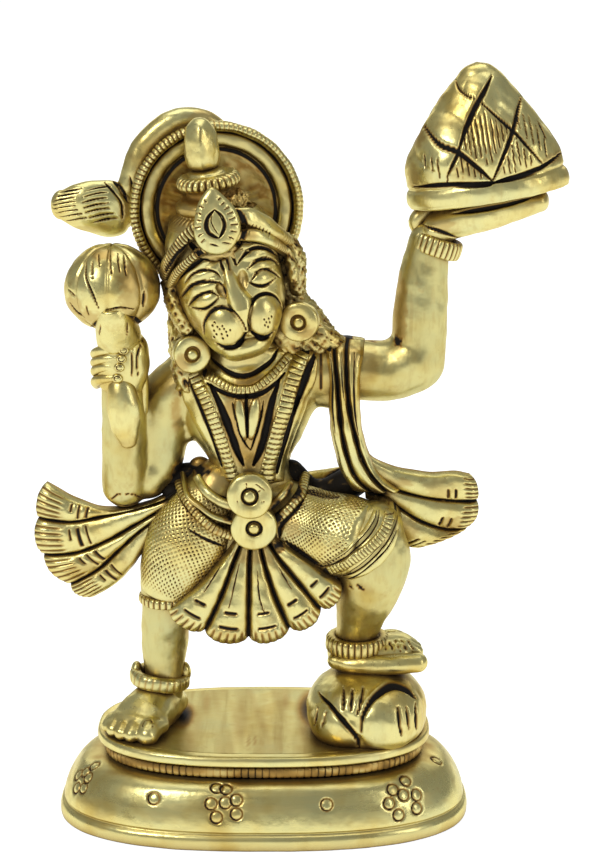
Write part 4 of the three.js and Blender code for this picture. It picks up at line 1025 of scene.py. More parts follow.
# ---- The mace: a lobed ball on a plain shaft that comes up through the fist.
BALL_AT, BALL_RADIUS = np.array((-21.55, -4.0, 66.9)), 7.0
mace_ball = lump(BALL_AT, (BALL_RADIUS, BALL_RADIUS * 0.96, BALL_RADIUS * 0.98), 220, 150)
from_middle = mace_ball[0] - BALL_AT
turn = np.arctan2(from_middle[:, 0], -from_middle[:, 1])
climb = from_middle[:, 2] / BALL_RADIUS
lobe = np.abs(np.cos(4 * (turn - 0.35)))
seam = np.clip(1 - lobe / 0.2, 0, 1) * (1 - ease(np.abs(climb), 0.8, 0.97))
from_middle[:, 2] *= np.where(climb < 0, 0.86, 1.0)
sink = 0.035 * (1 - lobe) ** 2 + 0.03 * seam + 0.03 * ease(climb, 0.9, 1.0)
mace_ball[0] = BALL_AT + from_middle * (1 - sink)[:, None]
mace_ball = engraved(mace_ball, [
    ([(-24.9, 71.6), (-24.8, 69.6), (-23.8, 67.2), (-23.0, 65.2)], 0.4),
    ([(-24.0, 71.8), (-23.9, 69.4)], 0.22), ([(-21.6, 72.6), (-21.2, 70.2)], 0.24),
    ([(-20.4, 72.8), (-20.0, 69.8)], 0.22), ([(-19.5, 72.4), (-19.1, 69.6)], 0.26),
    ([(-23.2, 72.6), (-22.9, 70.9)], 0.2), ([(-27.4, 65.6), (-26.4, 64.3), (-25.2, 63.6)], 0.4),
    ([(-16.6, 67.6), (-16.8, 65.2)], 0.6), ([(-27.6, 67.6), (-26.6, 66.8)], 0.24),
    ([(-24.9, 66.2), (-24.6, 63.8)], 0.24), ([(-24.6, 61.4), (-23.4, 63.2)], 0.6),
    ([(-22.2, 64.9), (-20.0, 65.4), (-18.0, 65.0)], 0.26),
    ([(-20.4, 64.4), (-18.0, 63.2), (-17.2, 61.6)], 0.9)], deep=0.4)
mace_ball = darkened_in_patches(mace_ball, [
    ((-17.6, 66.0), (3.6, 5.5), 0.6), ((-24.6, 63.6), (2.6, 1.8), 0.6),
    ((-19.0, 62.2), (2.6, 1.5), 0.79), ((-22.6, 72.6), (2.2, 1.0), 0.7), ((-15.9, 68.4), (0.7, 2.6), 0.75),
    ((-18.2, 69.2), (2.8, 3.0), 0.75), ((-26.8, 65.0), (1.8, 2.6), 0.6)])
shaft = swept([(-20.6, -4.0, 54, 2.5), (-20.5, -3.8, 58.0, 2.8), (-20.7, -4.9, 60.3, 3.3),
               (-20.9, -6.6, 62.1, 3.0), (-21.2, -8.2, 63.8, 2.5), (-21.4, -8.9, 65.2, 1.9)], around=80,
               ends=(1, 0.25))
shaft = engraved(shaft, [([(-23.2, 61.2), (-22.8, 62.8)], 0.3, 0.4),
                         ([(-19.2, 61.2), (-19.0, 63.0)], 0.3, 0.4)], deep=0.25)
piece("mace", joined(mace_ball, shaft), filed)


# ---- The fist round the shaft: a roll of four fingers, their tips a column of small coiled rings on
# the front, and the thumb's side as a cuff.
cuff = swept([(-17.8, -2.2, 47.5, 0.8), (-17.6, -2.6, 50, 1.0), (-17.6, -3.2, 53, 1.05),
              (-17.7, -4.0, 56, 1.1), (-18.0, -4.4, 57.9, 1.0)], around=28)
fingers = [swept([(-20.5, -4, 52.8, 3.3, 3.0), (-20.3, -4, 55.4, 3.9, 3.5), (-20.2, -4, 58.0, 3.8, 3.5),
                  (-20.4, -4.2, 59.6, 3.2, 3.0)], around=90, ends=(0.4, 0.2))]
for k, up in enumerate((58.7, 57.45, 56.2, 54.6)):
    fingers.append(swept([(-24.3, -1.6, up - 1.8 - 0.1 * k, 0.7), (-24.1, -4.2, up - 1.1, 0.78),
                          (-22.8, -6.1, up - 0.3, 0.74), (-20.9, -6.9, up, 0.6)], around=26, step=0.22,
                          front=(0, 0, 1)))
    x = -19.8 - 0.33 * k
    tip = lump((x, -7.4, up), (0.8, 0.6, 0.68), 44, 28)
    coil = [(x + 0.42 * math.sin(a), up + 0.36 * math.cos(a)) for a in np.linspace(k, k + 5.4, 9)]
    fingers.append(engraved(tip, [(coil, 0.2)], deep=0.12))
fist = engraved(joined(*fingers, cuff), [([(-17.0, 60.2), (-17.9, 57.6), (-17.8, 54.6)], 0.35),
                                         ([(-18.6, 58.8), (-18.7, 54.4)], 0.3, 0.6)], deep=0.4)
piece("fist", fist, polished)


# ---- The mace's grip: a tapering bar that hangs out of the fist.
pommel = swept([(-20.8, -5.2, 54.2, 1.7, 1.6), (-20.3, -6.3, 52.4, 2.1, 1.8), (-19.9, -6.7, 49.8, 2.5, 1.8),
                (-19.7, -6.5, 47.0, 2.1, 1.4), (-19.4, -6.1, 44.8, 1.2, 0.9)], around=44)
pommel = darkened_in_patches(pommel, [((-19.8, 44.4), (2.4, 1.5), 0.45), ((-18.2, 52.0), (0.8, 2.0), 0.4)])
piece("mace_grip", pommel, polished)


# ---- The mountain, held up on the open hand: a leaning pointed cone on a thick rim, its face cut into
# crossing facets with fine upright strokes between the cuts.
def turned(form, roll=0.0, yaw=0.0, pitch=0.0, at=(0, 0, 0)):
    """The form nodded by `pitch` about x, turned by `yaw` about the upright, leaned to the left by
    `roll` about y, all in degrees, and then moved to `at`."""
    p, y, r = (math.radians(k) for k in (pitch, yaw, -roll))
    nod = np.array([[1, 0, 0], [0, math.cos(p), -math.sin(p)], [0, math.sin(p), math.cos(p)]])
    spin = np.array([[math.cos(y), -math.sin(y), 0], [math.sin(y), math.cos(y), 0], [0, 0, 1]])
    lean_it = np.array([[math.cos(r), 0, math.sin(r)], [0, 1, 0], [-math.sin(r), 0, math.cos(r)]])
    return [form[0] @ (lean_it @ spin @ nod).T + at, *form[1:]]


def spun(profile, around, count, depth_share=1.0, carve=None):
    """A closed form turned about the upright: radius and height follow the smoothed profile, the depth
    is `depth_share` of the width. `carve` takes the run along the profile and the turn from the front."""
    path = smooth(profile, count)
    turn = np.linspace(-np.pi, np.pi, around, endpoint=False)
    rise, wax = carve(run_along(path)[:, None], turn[None]) if carve else (0.0, 0.0)
    way = unit(np.gradient(path, axis=0))
    rise = np.broadcast_to(rise, (count, around))
    radius = np.maximum(path[:, :1], 0.01) + rise * way[:, 1:]
    tall = path[:, 1:] - rise * way[:, :1]
    rings = np.dstack([radius * np.sin(turn), -radius * depth_share * np.cos(turn), tall])
    return faced_out(closed_skin(rings, wax))


peak = spun([(0.1, 0), (6, 0), (10.8, 0.05), (11.6, 0.6), (11.8, 1.5), (11.6, 2.4), (11.2, 3.0),
             (11.4, 3.6), (11.2, 5.6), (10.25, 8.0), (7.6, 12.1), (5.0, 15.6), (3.2, 17.6), (1.8, 18.9),
             (0.1, 19.4)], 360, 170, 0.68)
peak[0][:, 0] += np.interp(peak[0][:, 2], (0, 7.5, 12, 15.6, 17.5, 19.6), (0.1, -0.3, 0.1, 0.5, 0.95, 1.1))
peak = bulged(peak, [
    (0.9, (-5.6, 9.4), (4.0, 4.4), 40, 0.8), (0.5, (-6.6, 5.4), (3.2, 2.6)),
    (0.5, (1.6, 8.4), (3.0, 5.0), -12), (0.5, (6.8, 6.8), (3.4, 3.4)), (0.4, (1.4, 14.8), (3.2, 3.2))])
hatch = [([(x, low), (x + 0.1, high)], 0.27, 0.45) for x, low, high in (
    (-8.6, 6.0, 8.4), (-7.7, 5.4, 8.0), (-6.9, 4.6, 7.6), (-5.9, 3.8, 4.9), (-4.3, 4.4, 6.6),
    (-3.6, 4.0, 7.4), (-2.8, 3.9, 6.4), (-2.0, 3.8, 5.4), (-1.2, 3.7, 4.6), (-2.6, 8.0, 10.4),
    (-2.0, 7.2, 11.4), (-1.4, 6.6, 12.2), (-0.7, 6.2, 12.6), (0.0, 5.6, 12.9), (0.7, 4.8, 12.6),
    (1.4, 6.2, 11.8), (2.1, 7.4, 11.4), (2.8, 8.4, 11.0), (3.5, 9.4, 10.6), (2.2, 3.8, 5.4),
    (3.0, 3.8, 6.6), (3.8, 3.9, 7.8), (4.6, 4.0, 8.8), (5.4, 4.1, 7.4), (6.2, 4.2, 6.2), (5.4, 9.4, 12.4),
    (6.2, 8.0, 11.6), (7.0, 7.0, 11.0), (7.8, 6.0, 9.6), (8.6, 4.9, 8.0))]
peak = engraved(peak, [
    ([(-10.6, 3.7), (-6.1, 3.6), (-0.9, 3.0), (0.4, 3.0)], 1.05),
    ([(0.4, 3.0), (3.7, 3.2), (7.1, 3.6), (11.0, 4.8)], 1.05),
    ([(-7.9, 12.4), (-7.0, 10.5), (-5.9, 9.2), (-3.9, 8.1), (-2.0, 6.1), (0.6, 2.9)], 1.05),
    ([(6.6, 13.8), (5.6, 11.9), (4.4, 9.5), (2.3, 6.2), (0.2, 2.9)], 0.85),
    ([(2.8, 17.3), (1.3, 15.5), (-0.5, 13.4), (-2.2, 10.8), (-3.9, 7.9)], 1.0),
    ([(0.2, 14.6), (2.0, 12.4), (4.4, 9.6), (6.2, 6.9), (8.2, 3.7)], 0.55),
    ([(-3.4, 8.4), (-4.6, 6.7), (-5.8, 4.9)], 0.7), ([(8.3, 10.0), (9.0, 7.4)], 0.4, 0.6),
    ([(-2.3, 17.6), (-2.1, 16.3), (-1.2, 15.3), (-0.1, 14.7)], 0.4, 0.7)] + hatch, deep=0.6)
peak = darkened_in_patches(peak, [((-9.0, 11.0), (1.6, 2.4), 0.7), ((-5.2, 16.0), (1.6, 1.8), 0.6),
                      ((9.6, 4.6), (2.0, 1.2), 0.6), ((2.4, 9.0), (2.2, 4.4), 0.35),
                      ((-3.0, 5.4), (3.0, 2.4), 0.35), ((-10.4, 5.0), (1.2, 3.0), 0.5)])
piece("mountain", turned(peak, roll=9.5, at=(32.75, -1.2, 79.95)), polished, keep=0.58)


# ---- The open hand under the mountain: a wedge with a slot along it, and the thumb at its root.
hand = joined(swept([(24.7, -0.3, 73.9, 2.4, 2.6), (26.4, -0.6, 75.9, 2.6, 3.4),
                     (29.4, -1.0, 77.0, 2.6, 4.2), (34.4, -1.2, 78.3, 2.45, 4.4),
                     (39.8, -1.0, 79.6, 1.75, 3.6)],
                    around=150, step=0.17, square=2.3, ends=(1, 0.9)),
              swept([(22.9, 0.2, 74.6, 1.0), (22.4, 0.3, 76.2, 1.2), (23.4, 0.3, 77.3, 1.2),
                     (25.2, 0.3, 78.4, 0.9)], around=30))
hand = engraved(hand, [([(27.4, 78.0), (30.5, 78.6), (34.8, 79.4), (38.6, 80.4)], 0.9),
                       ([(23.2, 76.0), (25.6, 75.3), (28.0, 74.3)], 0.7)], deep=0.5)
hand = darkened_in_patches(hand, [((26.0, 76.6), (2.4, 1.6), 0.6), ((38.6, 80.0), (1.4, 1.4), 0.5)])
piece("hand", hand, polished)


# ---- The head: a broad monkey mask with its chin tucked in, leaning to the left. Closed almond eyes
# under doubled lids, arched brows, a wedge of a nose between two round muzzle halves, a smooth wide
# lip. It is modelled as one skin, then chased from the front.
HEAD = dict(roll=15, yaw=9, at=(-4.0, -1.5, 66.0))
CHIN_TO_BROW = [  # height, middle across, middle in depth, half width, half depth
    (-9.0, -0.8, -3.9, 0.8, 0.8), (-8.8, -0.8, -3.9, 2.3, 2.0), (-8.2, -0.8, -3.6, 3.3, 3.0),
    (-7.1, -0.75, -3.1, 4.3, 4.1), (-5.6, -0.6, -2.4, 5.4, 5.1), (-4.0, -0.5, -1.6, 6.3, 6.0),
    (-2.4, -0.4, -1.0, 7.05, 6.7), (-0.6, -0.35, -0.5, 7.6, 7.2), (1.5, -0.3, -0.1, 7.9, 7.5),
    (4.5, -0.2, 0.4, 8.05, 7.6), (7.2, -0.1, 0.7, 8.0, 7.3), (9.6, 0.0, 0.9, 7.6, 6.8),
    (11.6, 0, 1.0, 6.6, 5.8)]
tall, mid, back, broad, depth = smooth(CHIN_TO_BROW, 200).T[..., None]
turn = np.linspace(-1, 1, 220)
turn = 1.95 * (0.72 * turn + 0.28 * turn**3)
s, c = boxy(np.sin(turn), 2 / 2.6), boxy(np.cos(turn), 2 / 2.6)
mask = np.dstack([mid + broad * s, back - depth * c, tall + 0 * turn])
face = capped(mask, np.zeros(mask.shape[:2]), (0, 3.5, 1))
flat = face[0][:, [0, 2]]
wing = np.interp(flat[:, 1], (-4.8, -2.6, -1.2, 0.0, 1.2, 2.4, 3.9, 5.0),
                 (0.3, 0.9, 1.7, 1.85, 1.5, 1.15, 0.8, 0.5))
stem = np.interp(flat[:, 1], (-4.8, -2.3, -1.0, 0.0, 1.2, 2.4, 4.8),
                 (-0.55, -0.45, -0.3, -0.3, -0.5, -0.7, -0.75))
tip = np.interp(flat[:, 1], (-5.2, -4.4, -2.6, -1.2, 0.2, 2.4, 4.2, 5.6),
                (0.0, 0.9, 1.5, 1.75, 1.5, 1.0, 0.5, 0.0))
beside = (flat[:, 0] - stem) / wing
nose = np.minimum(np.clip(1.25 - 0.35 * np.abs(beside + 0.25), 0, 1), np.clip(1 - beside ** 4, 0, 1)) * tip
cheeks = 1.4 * np.maximum(swell(flat, (-3.35, -3.1), (2.9, 3.0), 8, 0.5),
                          swell(flat, (2.75, -3.2), (2.75, 3.05), -6, 0.5))
rise = rises(flat, [
    (0.55, (-5.05, 1.2), (2.2, 1.05), 12, 0.8), (0.55, (4.1, 2.0), (2.3, 1.05), -9, 0.8),  # eyeballs
    (0.5, (-5.0, 3.0), (3.1, 1.0), 12, 0.8), (0.5, (4.5, 3.75), (2.6, 0.9), -8, 0.8),  # upper lids
    (0.4, (-4.7, 4.75), (3.2, 0.9), 16), (0.4, (3.8, 5.5), (2.6, 0.8), -6),  # under the brows
    (0.5, (-4.8, 6.2), (3.6, 0.9), 26), (0.5, (4.3, 6.6), (3.0, 0.9), -20),  # brows
    (1.1, (-1.0, -7.1), (3.9, 1.5), 0, 0.8), (-0.3, (-0.8, -5.9), (1.6, 0.8)),  # lip, and over it
    (-0.55, (-2.35, 2.1), (0.75, 1.2), 10), (-0.65, (1.0, 2.7), (0.85, 1.5), -14)],  # beside the nose
    start=np.maximum(nose, cheeks))
facing = ease(-outward(face)[:, 1], 0.05, 0.4)
face[0] = face[0] - (0, 1, 0) * (rise * facing)[:, None]
film = [swell(flat, (-2.4, 2.0), (0.7, 1.2)), swell(flat, (1.0, 2.5), (0.9, 1.6), -14),
        swell(flat, (-0.5, 4.2), (0.7, 0.5)), 0.8 * swell(flat, (-6.9, -2.2), (1.0, 2.0), 15)]
face[3] = 0.3 * np.max(film, 0) ** 0.5
dots = [(-4.6, -1.8), (-5.0, -2.2), (-4.4, -2.5), (-5.0, -3.0), (-3.7, -2.5), (-4.2, -2.9), (-3.6, -3.0),
        (-3.4, -3.5), (-2.8, -3.4), (-4.8, -3.6), (-4.1, -3.7), (-3.4, -4.1), (-4.1, -4.4), (-5.2, -4.0),
        (2.3, -3.3), (3.0, -3.4), (2.5, -3.8), (3.0, -4.0), (2.2, -4.2), (2.6, -4.6), (3.5, -3.3)]
AROUND_JEWEL = [([(2.5, 13.0), (3.1, 12.0), (3.3, 10.6), (2.8, 9.0), (1.8, 7.6), (0.6, 6.8)], 1.3, 1.3),
                ([(-4.9, 10.2), (-4.5, 9.0), (-3.6, 7.5), (-2.2, 6.6), (-0.4, 6.3)], 1.3, 1.2)]
face = engraved(face, AROUND_JEWEL + [
    ([(-7.1, 0.65), (-6.2, 0.25), (-5.3, 0.1), (-4.2, 0.4), (-3.0, 1.1)], 0.5),
    ([(-7.3, 0.85), (-6.7, 1.5), (-5.7, 2.1), (-4.7, 2.3), (-3.7, 2.2), (-2.9, 1.4)], 0.5),
    ([(-8.0, 2.0), (-7.2, 3.0), (-6.2, 3.7), (-5.0, 3.95), (-3.7, 3.8), (-2.6, 3.3), (-2.0, 2.6)], 0.55),
    ([(-6.9, 4.3), (-5.8, 5.2), (-4.6, 5.5), (-3.4, 5.4), (-2.4, 4.7), (-1.9, 3.8)], 0.5),
    ([(-8.4, 4.2), (-6.7, 5.7), (-5.3, 6.45), (-3.9, 7.0), (-2.6, 7.3)], 0.85),
    ([(1.6, 2.2), (2.5, 1.4), (3.6, 0.95), (4.7, 1.0), (5.8, 1.4)], 0.5),
    ([(2.0, 2.2), (3.3, 3.1), (4.6, 3.1), (5.7, 2.3), (6.5, 1.1)], 0.45),
    ([(2.0, 3.9), (3.4, 4.6), (4.8, 4.6), (6.0, 4.1), (6.9, 2.9)], 0.5),
    ([(0.9, 5.0), (2.3, 6.1), (3.8, 6.5), (5.0, 6.2), (6.1, 5.4), (7.0, 4.3)], 0.7),
    ([(2.6, 7.7), (4.0, 7.5), (5.2, 6.9), (6.3, 6.1), (7.2, 5.2)], 0.55),
    ([(7.5, 6.4), (7.7, 4.2), (7.6, 1.8), (7.2, -0.4)], 1.0),
    ([(-1.3, 7.1), (-1.3, 5.8), (-1.4, 4.3)], 0.5), ([(-0.3, 7.1), (-0.4, 5.8), (-0.35, 4.5)], 0.42),
    ([(0.5, 7.5), (0.6, 6.1), (0.65, 4.8)], 0.55),
    ([(-6.3, -3.6), (-6.0, -2.0), (-5.0, -0.7), (-3.8, -0.15), (-2.6, -0.3), (-1.6, -1.2), (-0.95, -2.7),
      (-0.5, -4.8)], 0.5),
    ([(-5.2, -5.0), (-4.1, -6.0), (-2.7, -6.2), (-1.4, -5.6), (-0.55, -4.6)], 0.85),
    ([(0.0, -4.6), (0.1, -3.3), (0.5, -2.0), (1.4, -0.7), (2.5, -0.1), (3.8, -0.2), (4.9, -1.0),
      (5.5, -2.3), (5.6, -3.6)], 0.5),
    ([(0.1, -4.7), (1.0, -5.9), (2.2, -6.3), (3.5, -5.8)], 0.85),
    ([(-2.2, 3.4), (-1.9, 2.0), (-2.1, 0.8)], 0.3, 0.5)]
    + [([(x, z), (x + 0.05, z - 0.25)], 0.34, 0.5) for x, z in dots], deep=0.5)
piece("face", turned(face, **HEAD), polished, rough=0.03, keep=0.76)


# ---- Ears and hair: rough-cast locks down both sides of the face, left as they came from the mould.
locks = joined(
    turned(joined(swept([(-8.1, 0.2, 6.0, 1.2, 1.6), (-8.7, -0.2, 3.2, 1.3, 2.0),
                         (-8.7, -0.6, 0.2, 1.3, 1.9), (-8.2, -1.0, -2.6, 1.2, 1.5)], step=0.24),
                  swept([(8.9, -1.2, 6.0, 0.9, 1.3), (9.7, -1.3, 4.0, 1.3, 1.6), (9.6, -1.3, 1.2, 1.4, 1.6),
                         (8.9, -1.3, -1.6, 1.2, 1.3)], step=0.2),
                  swept([(8.7, -2.8, 5.2, 0.6, 1.2), (8.8, -3.0, 2.4, 0.75, 1.3),
                         (8.5, -3.0, 0.0, 0.8, 1.2)], around=32)), **HEAD),
    swept([(2.8, 0.8, 71, 2.6), (3.9, 0.9, 65.0, 2.6), (6.4, 0.2, 60.8, 3.2), (9.4, 0.2, 57.6, 2.6)],
          around=80, step=0.2),
    swept([(1.2, 0.2, 65, 2.4), (2.6, 0.0, 61.6, 2.8), (4.4, 0.0, 58.6, 2.6)], around=48, step=0.3),
    swept([(6.4, -1.4, 60.8, 1.5), (8.4, -1.8, 59.8, 1.7), (10.6, -1.4, 58.4, 1.5)], around=40),
    swept([(-11.3, 1, 66, 2.2), (-11.3, 1, 60, 2.6), (-11.0, 0.9, 55.6, 2.5)], around=80, step=0.2),
    swept([(-11.8, -1.6, 58, 1.3), (-11.8, -2.2, 55.2, 1.5), (-11.2, -2.6, 52.6, 1.2)], around=40),
    turned(lump((0, 2.8, 1.5), (8.0, 7.0, 8.6), 90, 70), **HEAD))
flakes = 0.8 * uneven(locks[0] * (1, 1, 0.6), 0.2) + 0.35 * uneven(locks[0], 0.6)
locks = raised(locks, 0.19 * flakes)
locks[3] = 0.08 + ease(-flakes, 0.15, 1.0) * 0.85
piece("hair", locks, rough_cast)


# ---- The crown: two bands that rise to the jewel, ribbed on the left and worn smooth on the right, and
# behind them a stepped dome with a ribbed collar and a polished egg for a finial.
def fillet_band(rows, high, pitch):
    """A closed band round the head along rows of x, y, up, half width and rib depth. Its outer side
    looks away from the head's axis, and the ribs are cut there each `pitch` millimetres."""
    path = smooth(rows, 40 * len(rows), True)
    path = np.vstack([path, path[:1]])
    run = run_along(path[:, :3])
    count = int(round(run[-2] / pitch)) * 5
    row = read_off(np.linspace(0, run[-1], count, endpoint=False), run, path)
    core, wide, deep = row[:, :3], row[:, 3:4], row[:, 4:]
    out = unit(core * (1, 1, 0) - (0, 0.4, 0))
    side = unit(np.cross(unit(np.roll(core, -1, 0) - np.roll(core, 1, 0)), out))
    turn = np.linspace(-np.pi, np.pi, 20, endpoint=False)
    valley = comb(2 * np.pi * np.arange(count) / 5, 2)[:, None] * (1 - ease(np.abs(turn), 1.2, 1.7))
    rings = about(core, side, out, wide, high - deep * valley, turn, 0.75)
    return faced_out(closed_skin(rings, valley * np.clip(deep * 4, 0, 0.95), True))


UPPER_BAND = [  # x, y, up, half width, rib depth
    (0, -7.7, 11.9, 0.9, 0.2), (-2.2, -7.6, 11.7, 0.95, 0.28), (-4.1, -7.1, 11.2, 0.95, 0.28),
    (-5.6, -6.4, 10.3, 0.95, 0.28), (-7.0, -5.2, 9.0, 0.95, 0.28), (-8.3, -3.4, 7.4, 0.95, 0.28),
    (-9.0, -0.8, 5.6, 0.9, 0.28), (-8.4, 3, 5.6, 0.8, 0.2), (-5, 7, 7, 0.8, 0.2), (0, 8.2, 8, 0.8, 0.2),
    (5, 7, 6.6, 0.8, 0.2), (8.4, 3, 5.2, 0.8, 0.2), (9.3, -1, 5.0, 0.8, 0.2), (8.8, -3.6, 6.0, 0.85, 0.15),
    (7.6, -5.3, 7.7, 1.05, 0), (6.3, -6.3, 9.3, 1.25, 0), (4.9, -7, 10.6, 1.35, 0),
    (3.2, -7.5, 11.5, 1.25, 0)]
LOWER_BAND = [
    (0, -7.8, 8.9, 0.6, 0.1), (-2.2, -7.8, 8.5, 0.6, 0.24), (-4.0, -7.5, 8.1, 0.6, 0.24),
    (-5.8, -6.7, 7.2, 0.62, 0.24), (-7.5, -4.9, 5.9, 0.62, 0.24), (-8.6, -2.4, 4.3, 0.6, 0.24),
    (-8.6, 1, 4, 0.6, 0.2), (-6, 6, 5, 0.6, 0.2), (0, 8, 6, 0.6, 0.2), (6, 6, 4.6, 0.6, 0.2),
    (8.6, 1, 3.6, 0.6, 0.2), (8.5, -2.4, 3.9, 0.6, 0.24), (7.5, -4.8, 5.4, 0.72, 0.2),
    (6.2, -6.3, 7.0, 0.9, 0), (4.6, -7.2, 8.2, 0.95, 0), (2.4, -7.8, 8.9, 0.8, 0)]
bands = joined(fillet_band(UPPER_BAND, high=0.8, pitch=0.56), fillet_band(LOWER_BAND, high=0.7, pitch=0.5))
bands = engraved(bands, AROUND_JEWEL + [
    ([(-9.0, 6.2), (-8.6, 6.9), (-7.2, 8.3), (-5.6, 9.35), (-4.2, 9.8)], 0.95, 0.8)] + [
    ([(x, z), (x - 0.28, z - 0.42)], 0.24, 0.6) for x, z in (
        (3.9, 10.0), (4.4, 9.9), (4.9, 9.6), (5.4, 9.3), (5.8, 8.9), (6.2, 8.5), (6.6, 8.1))], deep=0.4)
bands = darkened_in_patches(bands, [((-3.0, 8.6), (4.0, 0.9), 0.6), ((3.6, 9.0), (1.6, 1.6), 0.6),
                        ((7.6, 6.4), (1.2, 1.2), 0.6)])


def near(x, low, high, soft):
    """1 from `low` to `high`, falling to 0 over `soft` on either side."""
    return between(x, low - soft, low, high, high + soft)


def tier_marks(run, turn):
    """Upright cuts round the collar and, shallower, round the two steps under it, and a brown film over
    the dome and the collar's foot."""
    collar = comb(turn * 27 + 0.4 * np.sin(3 * turn), 4) * near(run, 21.4, 23.4, 0.3)
    step = comb(turn * 40 + 1, 4) * (near(run, 10.6, 12.2, 0.4) + near(run, 14.9, 16.2, 0.4))
    film = 0.28 * near(run, 3.0, 20.0, 0.5) + 0.2 * near(run, 18.9, 20.8, 0.5)
    return -0.34 * collar - 0.16 * step, np.maximum(0.9 * np.maximum(collar, 0.8 * step), film)


tiers = spun([(0.1, -2.4), (6.6, -2.2), (7.4, -0.6), (7.8, 0.6), (7.1, 1.6), (6.5, 2.0), (6.9, 2.7),
              (6.7, 3.9), (5.8, 4.8), (4.9, 5.3), (5.2, 5.9), (5.1, 6.8), (4.2, 7.4), (3.5, 7.7),
              (3.4, 8.2), (3.7, 8.7), (4.3, 8.95), (4.6, 9.4), (4.55, 9.95), (4.1, 10.5), (3.0, 10.75),
              (2.6, 11.1), (1.8, 11.3), (0.1, 11.3)], 200, 120, carve=tier_marks)
rough_cuts = uneven(tiers[0], 0.26) + 0.6 * uneven(tiers[0], 0.5)
below = ease(8.2 - tiers[0][:, 2], 0, 0.8) * ease(tiers[0][:, 0], -2.5, 0.5)
tiers = raised(tiers, 0.3 * rough_cuts * below)
tiers[3] = np.maximum(tiers[3], 0.8 * ease(-rough_cuts, 0.1, 1.0) * below)
egg = spun([(0.1, -4.0), (1.2, -3.9), (2.1, -3.3), (2.45, -2.2), (2.55, -1.0), (2.42, 0.6), (2.05, 2.1),
            (1.45, 3.1), (0.8, 3.6), (0.1, 3.75)], 64, 52)
keel = 0.35 * np.clip(1 - np.abs(egg[0][:, :1]) / 1.3, 0, 1) * ease(-egg[0][:, 1:2], 0.5, 2)
egg[0] = egg[0] - (0, 1, 0) * keel
steps = turned(tiers, roll=9, yaw=9, pitch=7, at=turned([np.array([[0, 0.8, 8.0]])], **HEAD)[0][0]
               + (-0.15, 0, -0.7))
piece("crown", joined(turned(bands, **HEAD), steps, turned(egg, roll=3, at=(-8.65, -1.6, 87.7))), filed,
      rough=0.06)


# ---- The crown's jewel: a leaf that stands over the middle of the bands, with a split heart between
# two deep cuts and short ticks round its edge.
def leaf(outline, middle, thick, across=46, around=130):
    """A closed leaf: rings shrink from its outline to its middle, and its two faces swell by
    thick * (1 - r^5)^(1/2), r being the ring's share of the outline's size."""
    rim = smooth(outline, around, True)
    r = np.linspace(0.02, 1, across) ** 0.8
    flat = np.asarray(middle)[None, None] + (rim - middle)[None] * r[:, None, None]
    bulge = np.repeat((thick * np.sqrt(np.clip(1 - r ** 5, 0, 1)))[:, None], around, 1)
    face_side = np.dstack([flat[..., 0], -bulge, flat[..., 1]])
    rear = np.dstack([flat[::-6, :, 0], bulge[::-6], flat[::-6, :, 1]])
    return faced_out(closed_skin(np.concatenate([face_side, rear[1:]])))


jewel = leaf([(-0.1, 17.3), (-1.3, 16.6), (-2.5, 15.3), (-3.5, 13.5), (-4.1, 11.8), (-4.15, 10.2),
              (-3.3, 8.6), (-1.8, 7.6), (0.0, 7.7), (1.5, 8.8), (2.4, 10.1), (2.8, 11.9), (2.4, 13.7),
              (1.5, 15.5), (0.6, 16.9)], (-0.8, 11.8), 1.0)
ticks = [((0.4, 15.2), (0.9, 15.5)), ((0.6, 14.4), (1.3, 14.7)), ((0.8, 13.6), (1.8, 13.9)),
         ((0.95, 12.9), (2.1, 13.0)), ((1.0, 12.1), (2.3, 12.1)), ((1.0, 11.3), (2.2, 11.1)),
         ((0.8, 10.5), (1.9, 10.0)), ((0.3, 9.8), (1.2, 9.1)), ((-0.6, 9.2), (0.5, 8.6)),
         ((-2.4, 9.5), (-1.3, 8.8)), ((-2.9, 10.4), (-3.6, 10.0)), ((-2.9, 11.2), (-3.8, 11.0)),
         ((-2.8, 12.2), (-3.8, 12.3)), ((-2.6, 13.0), (-3.4, 13.3)), ((-2.3, 13.9), (-3.0, 14.3)),
         ((-1.8, 14.7), (-2.4, 15.2)), ((-1.2, 15.3), (-1.5, 15.9))]
jewel = engraved(jewel, [
    ([(-0.5, 14.0), (-1.5, 13.3), (-2.15, 12.3), (-2.15, 11.2), (-1.6, 10.4), (-1.0, 9.9)], 0.9, 1.1),
    ([(-0.4, 14.0), (0.25, 12.9), (0.35, 11.6), (-0.2, 10.6), (-0.9, 9.9)], 0.78, 1.1),
    ([(-1.0, 13.4), (-1.35, 12.6), (-1.25, 11.6), (-0.9, 10.5)], 0.26, 0.6)]
    + [([start, end], 0.27, 0.4) for start, end in ticks], deep=0.42)
jewel[0] = (jewel[0] - (-0.8, 0, 11.8)) * (1.0, 1, 0.97) + (-0.8, 0, 11.8)
piece("crown_jewel", turned(turned(jewel, pitch=-6, at=(0.1, -9.2, -0.45)), **HEAD), polished, rough=0.03)


# ---- The ring of glory behind the crown: a dished disc with a smooth raised ring between two black
# grooves, and a rolled rim cut all round with ribs, worn faint on its right side.
def rim_marks(run, turn):
    """A hundred and eight cuts round the rim, a black line in each groove and a brown film inside."""
    kept = 0.4 + 0.6 * ease(-np.sin(turn), -0.5, 0.3)
    valley = comb(turn * 108, 4) * near(run, 12.7, 16.3, 0.4) * kept
    film = 0.2 * ease(run, 21.3, 21.8) + 0.12 * near(run, 18.2, 20.4, 0.3)
    grooves = np.maximum(near(run, 17.3, 17.8, 0.3), near(run, 20.8, 21.2, 0.3))
    return -0.15 * valley, np.maximum(0.95 * valley, np.maximum(grooves, film))


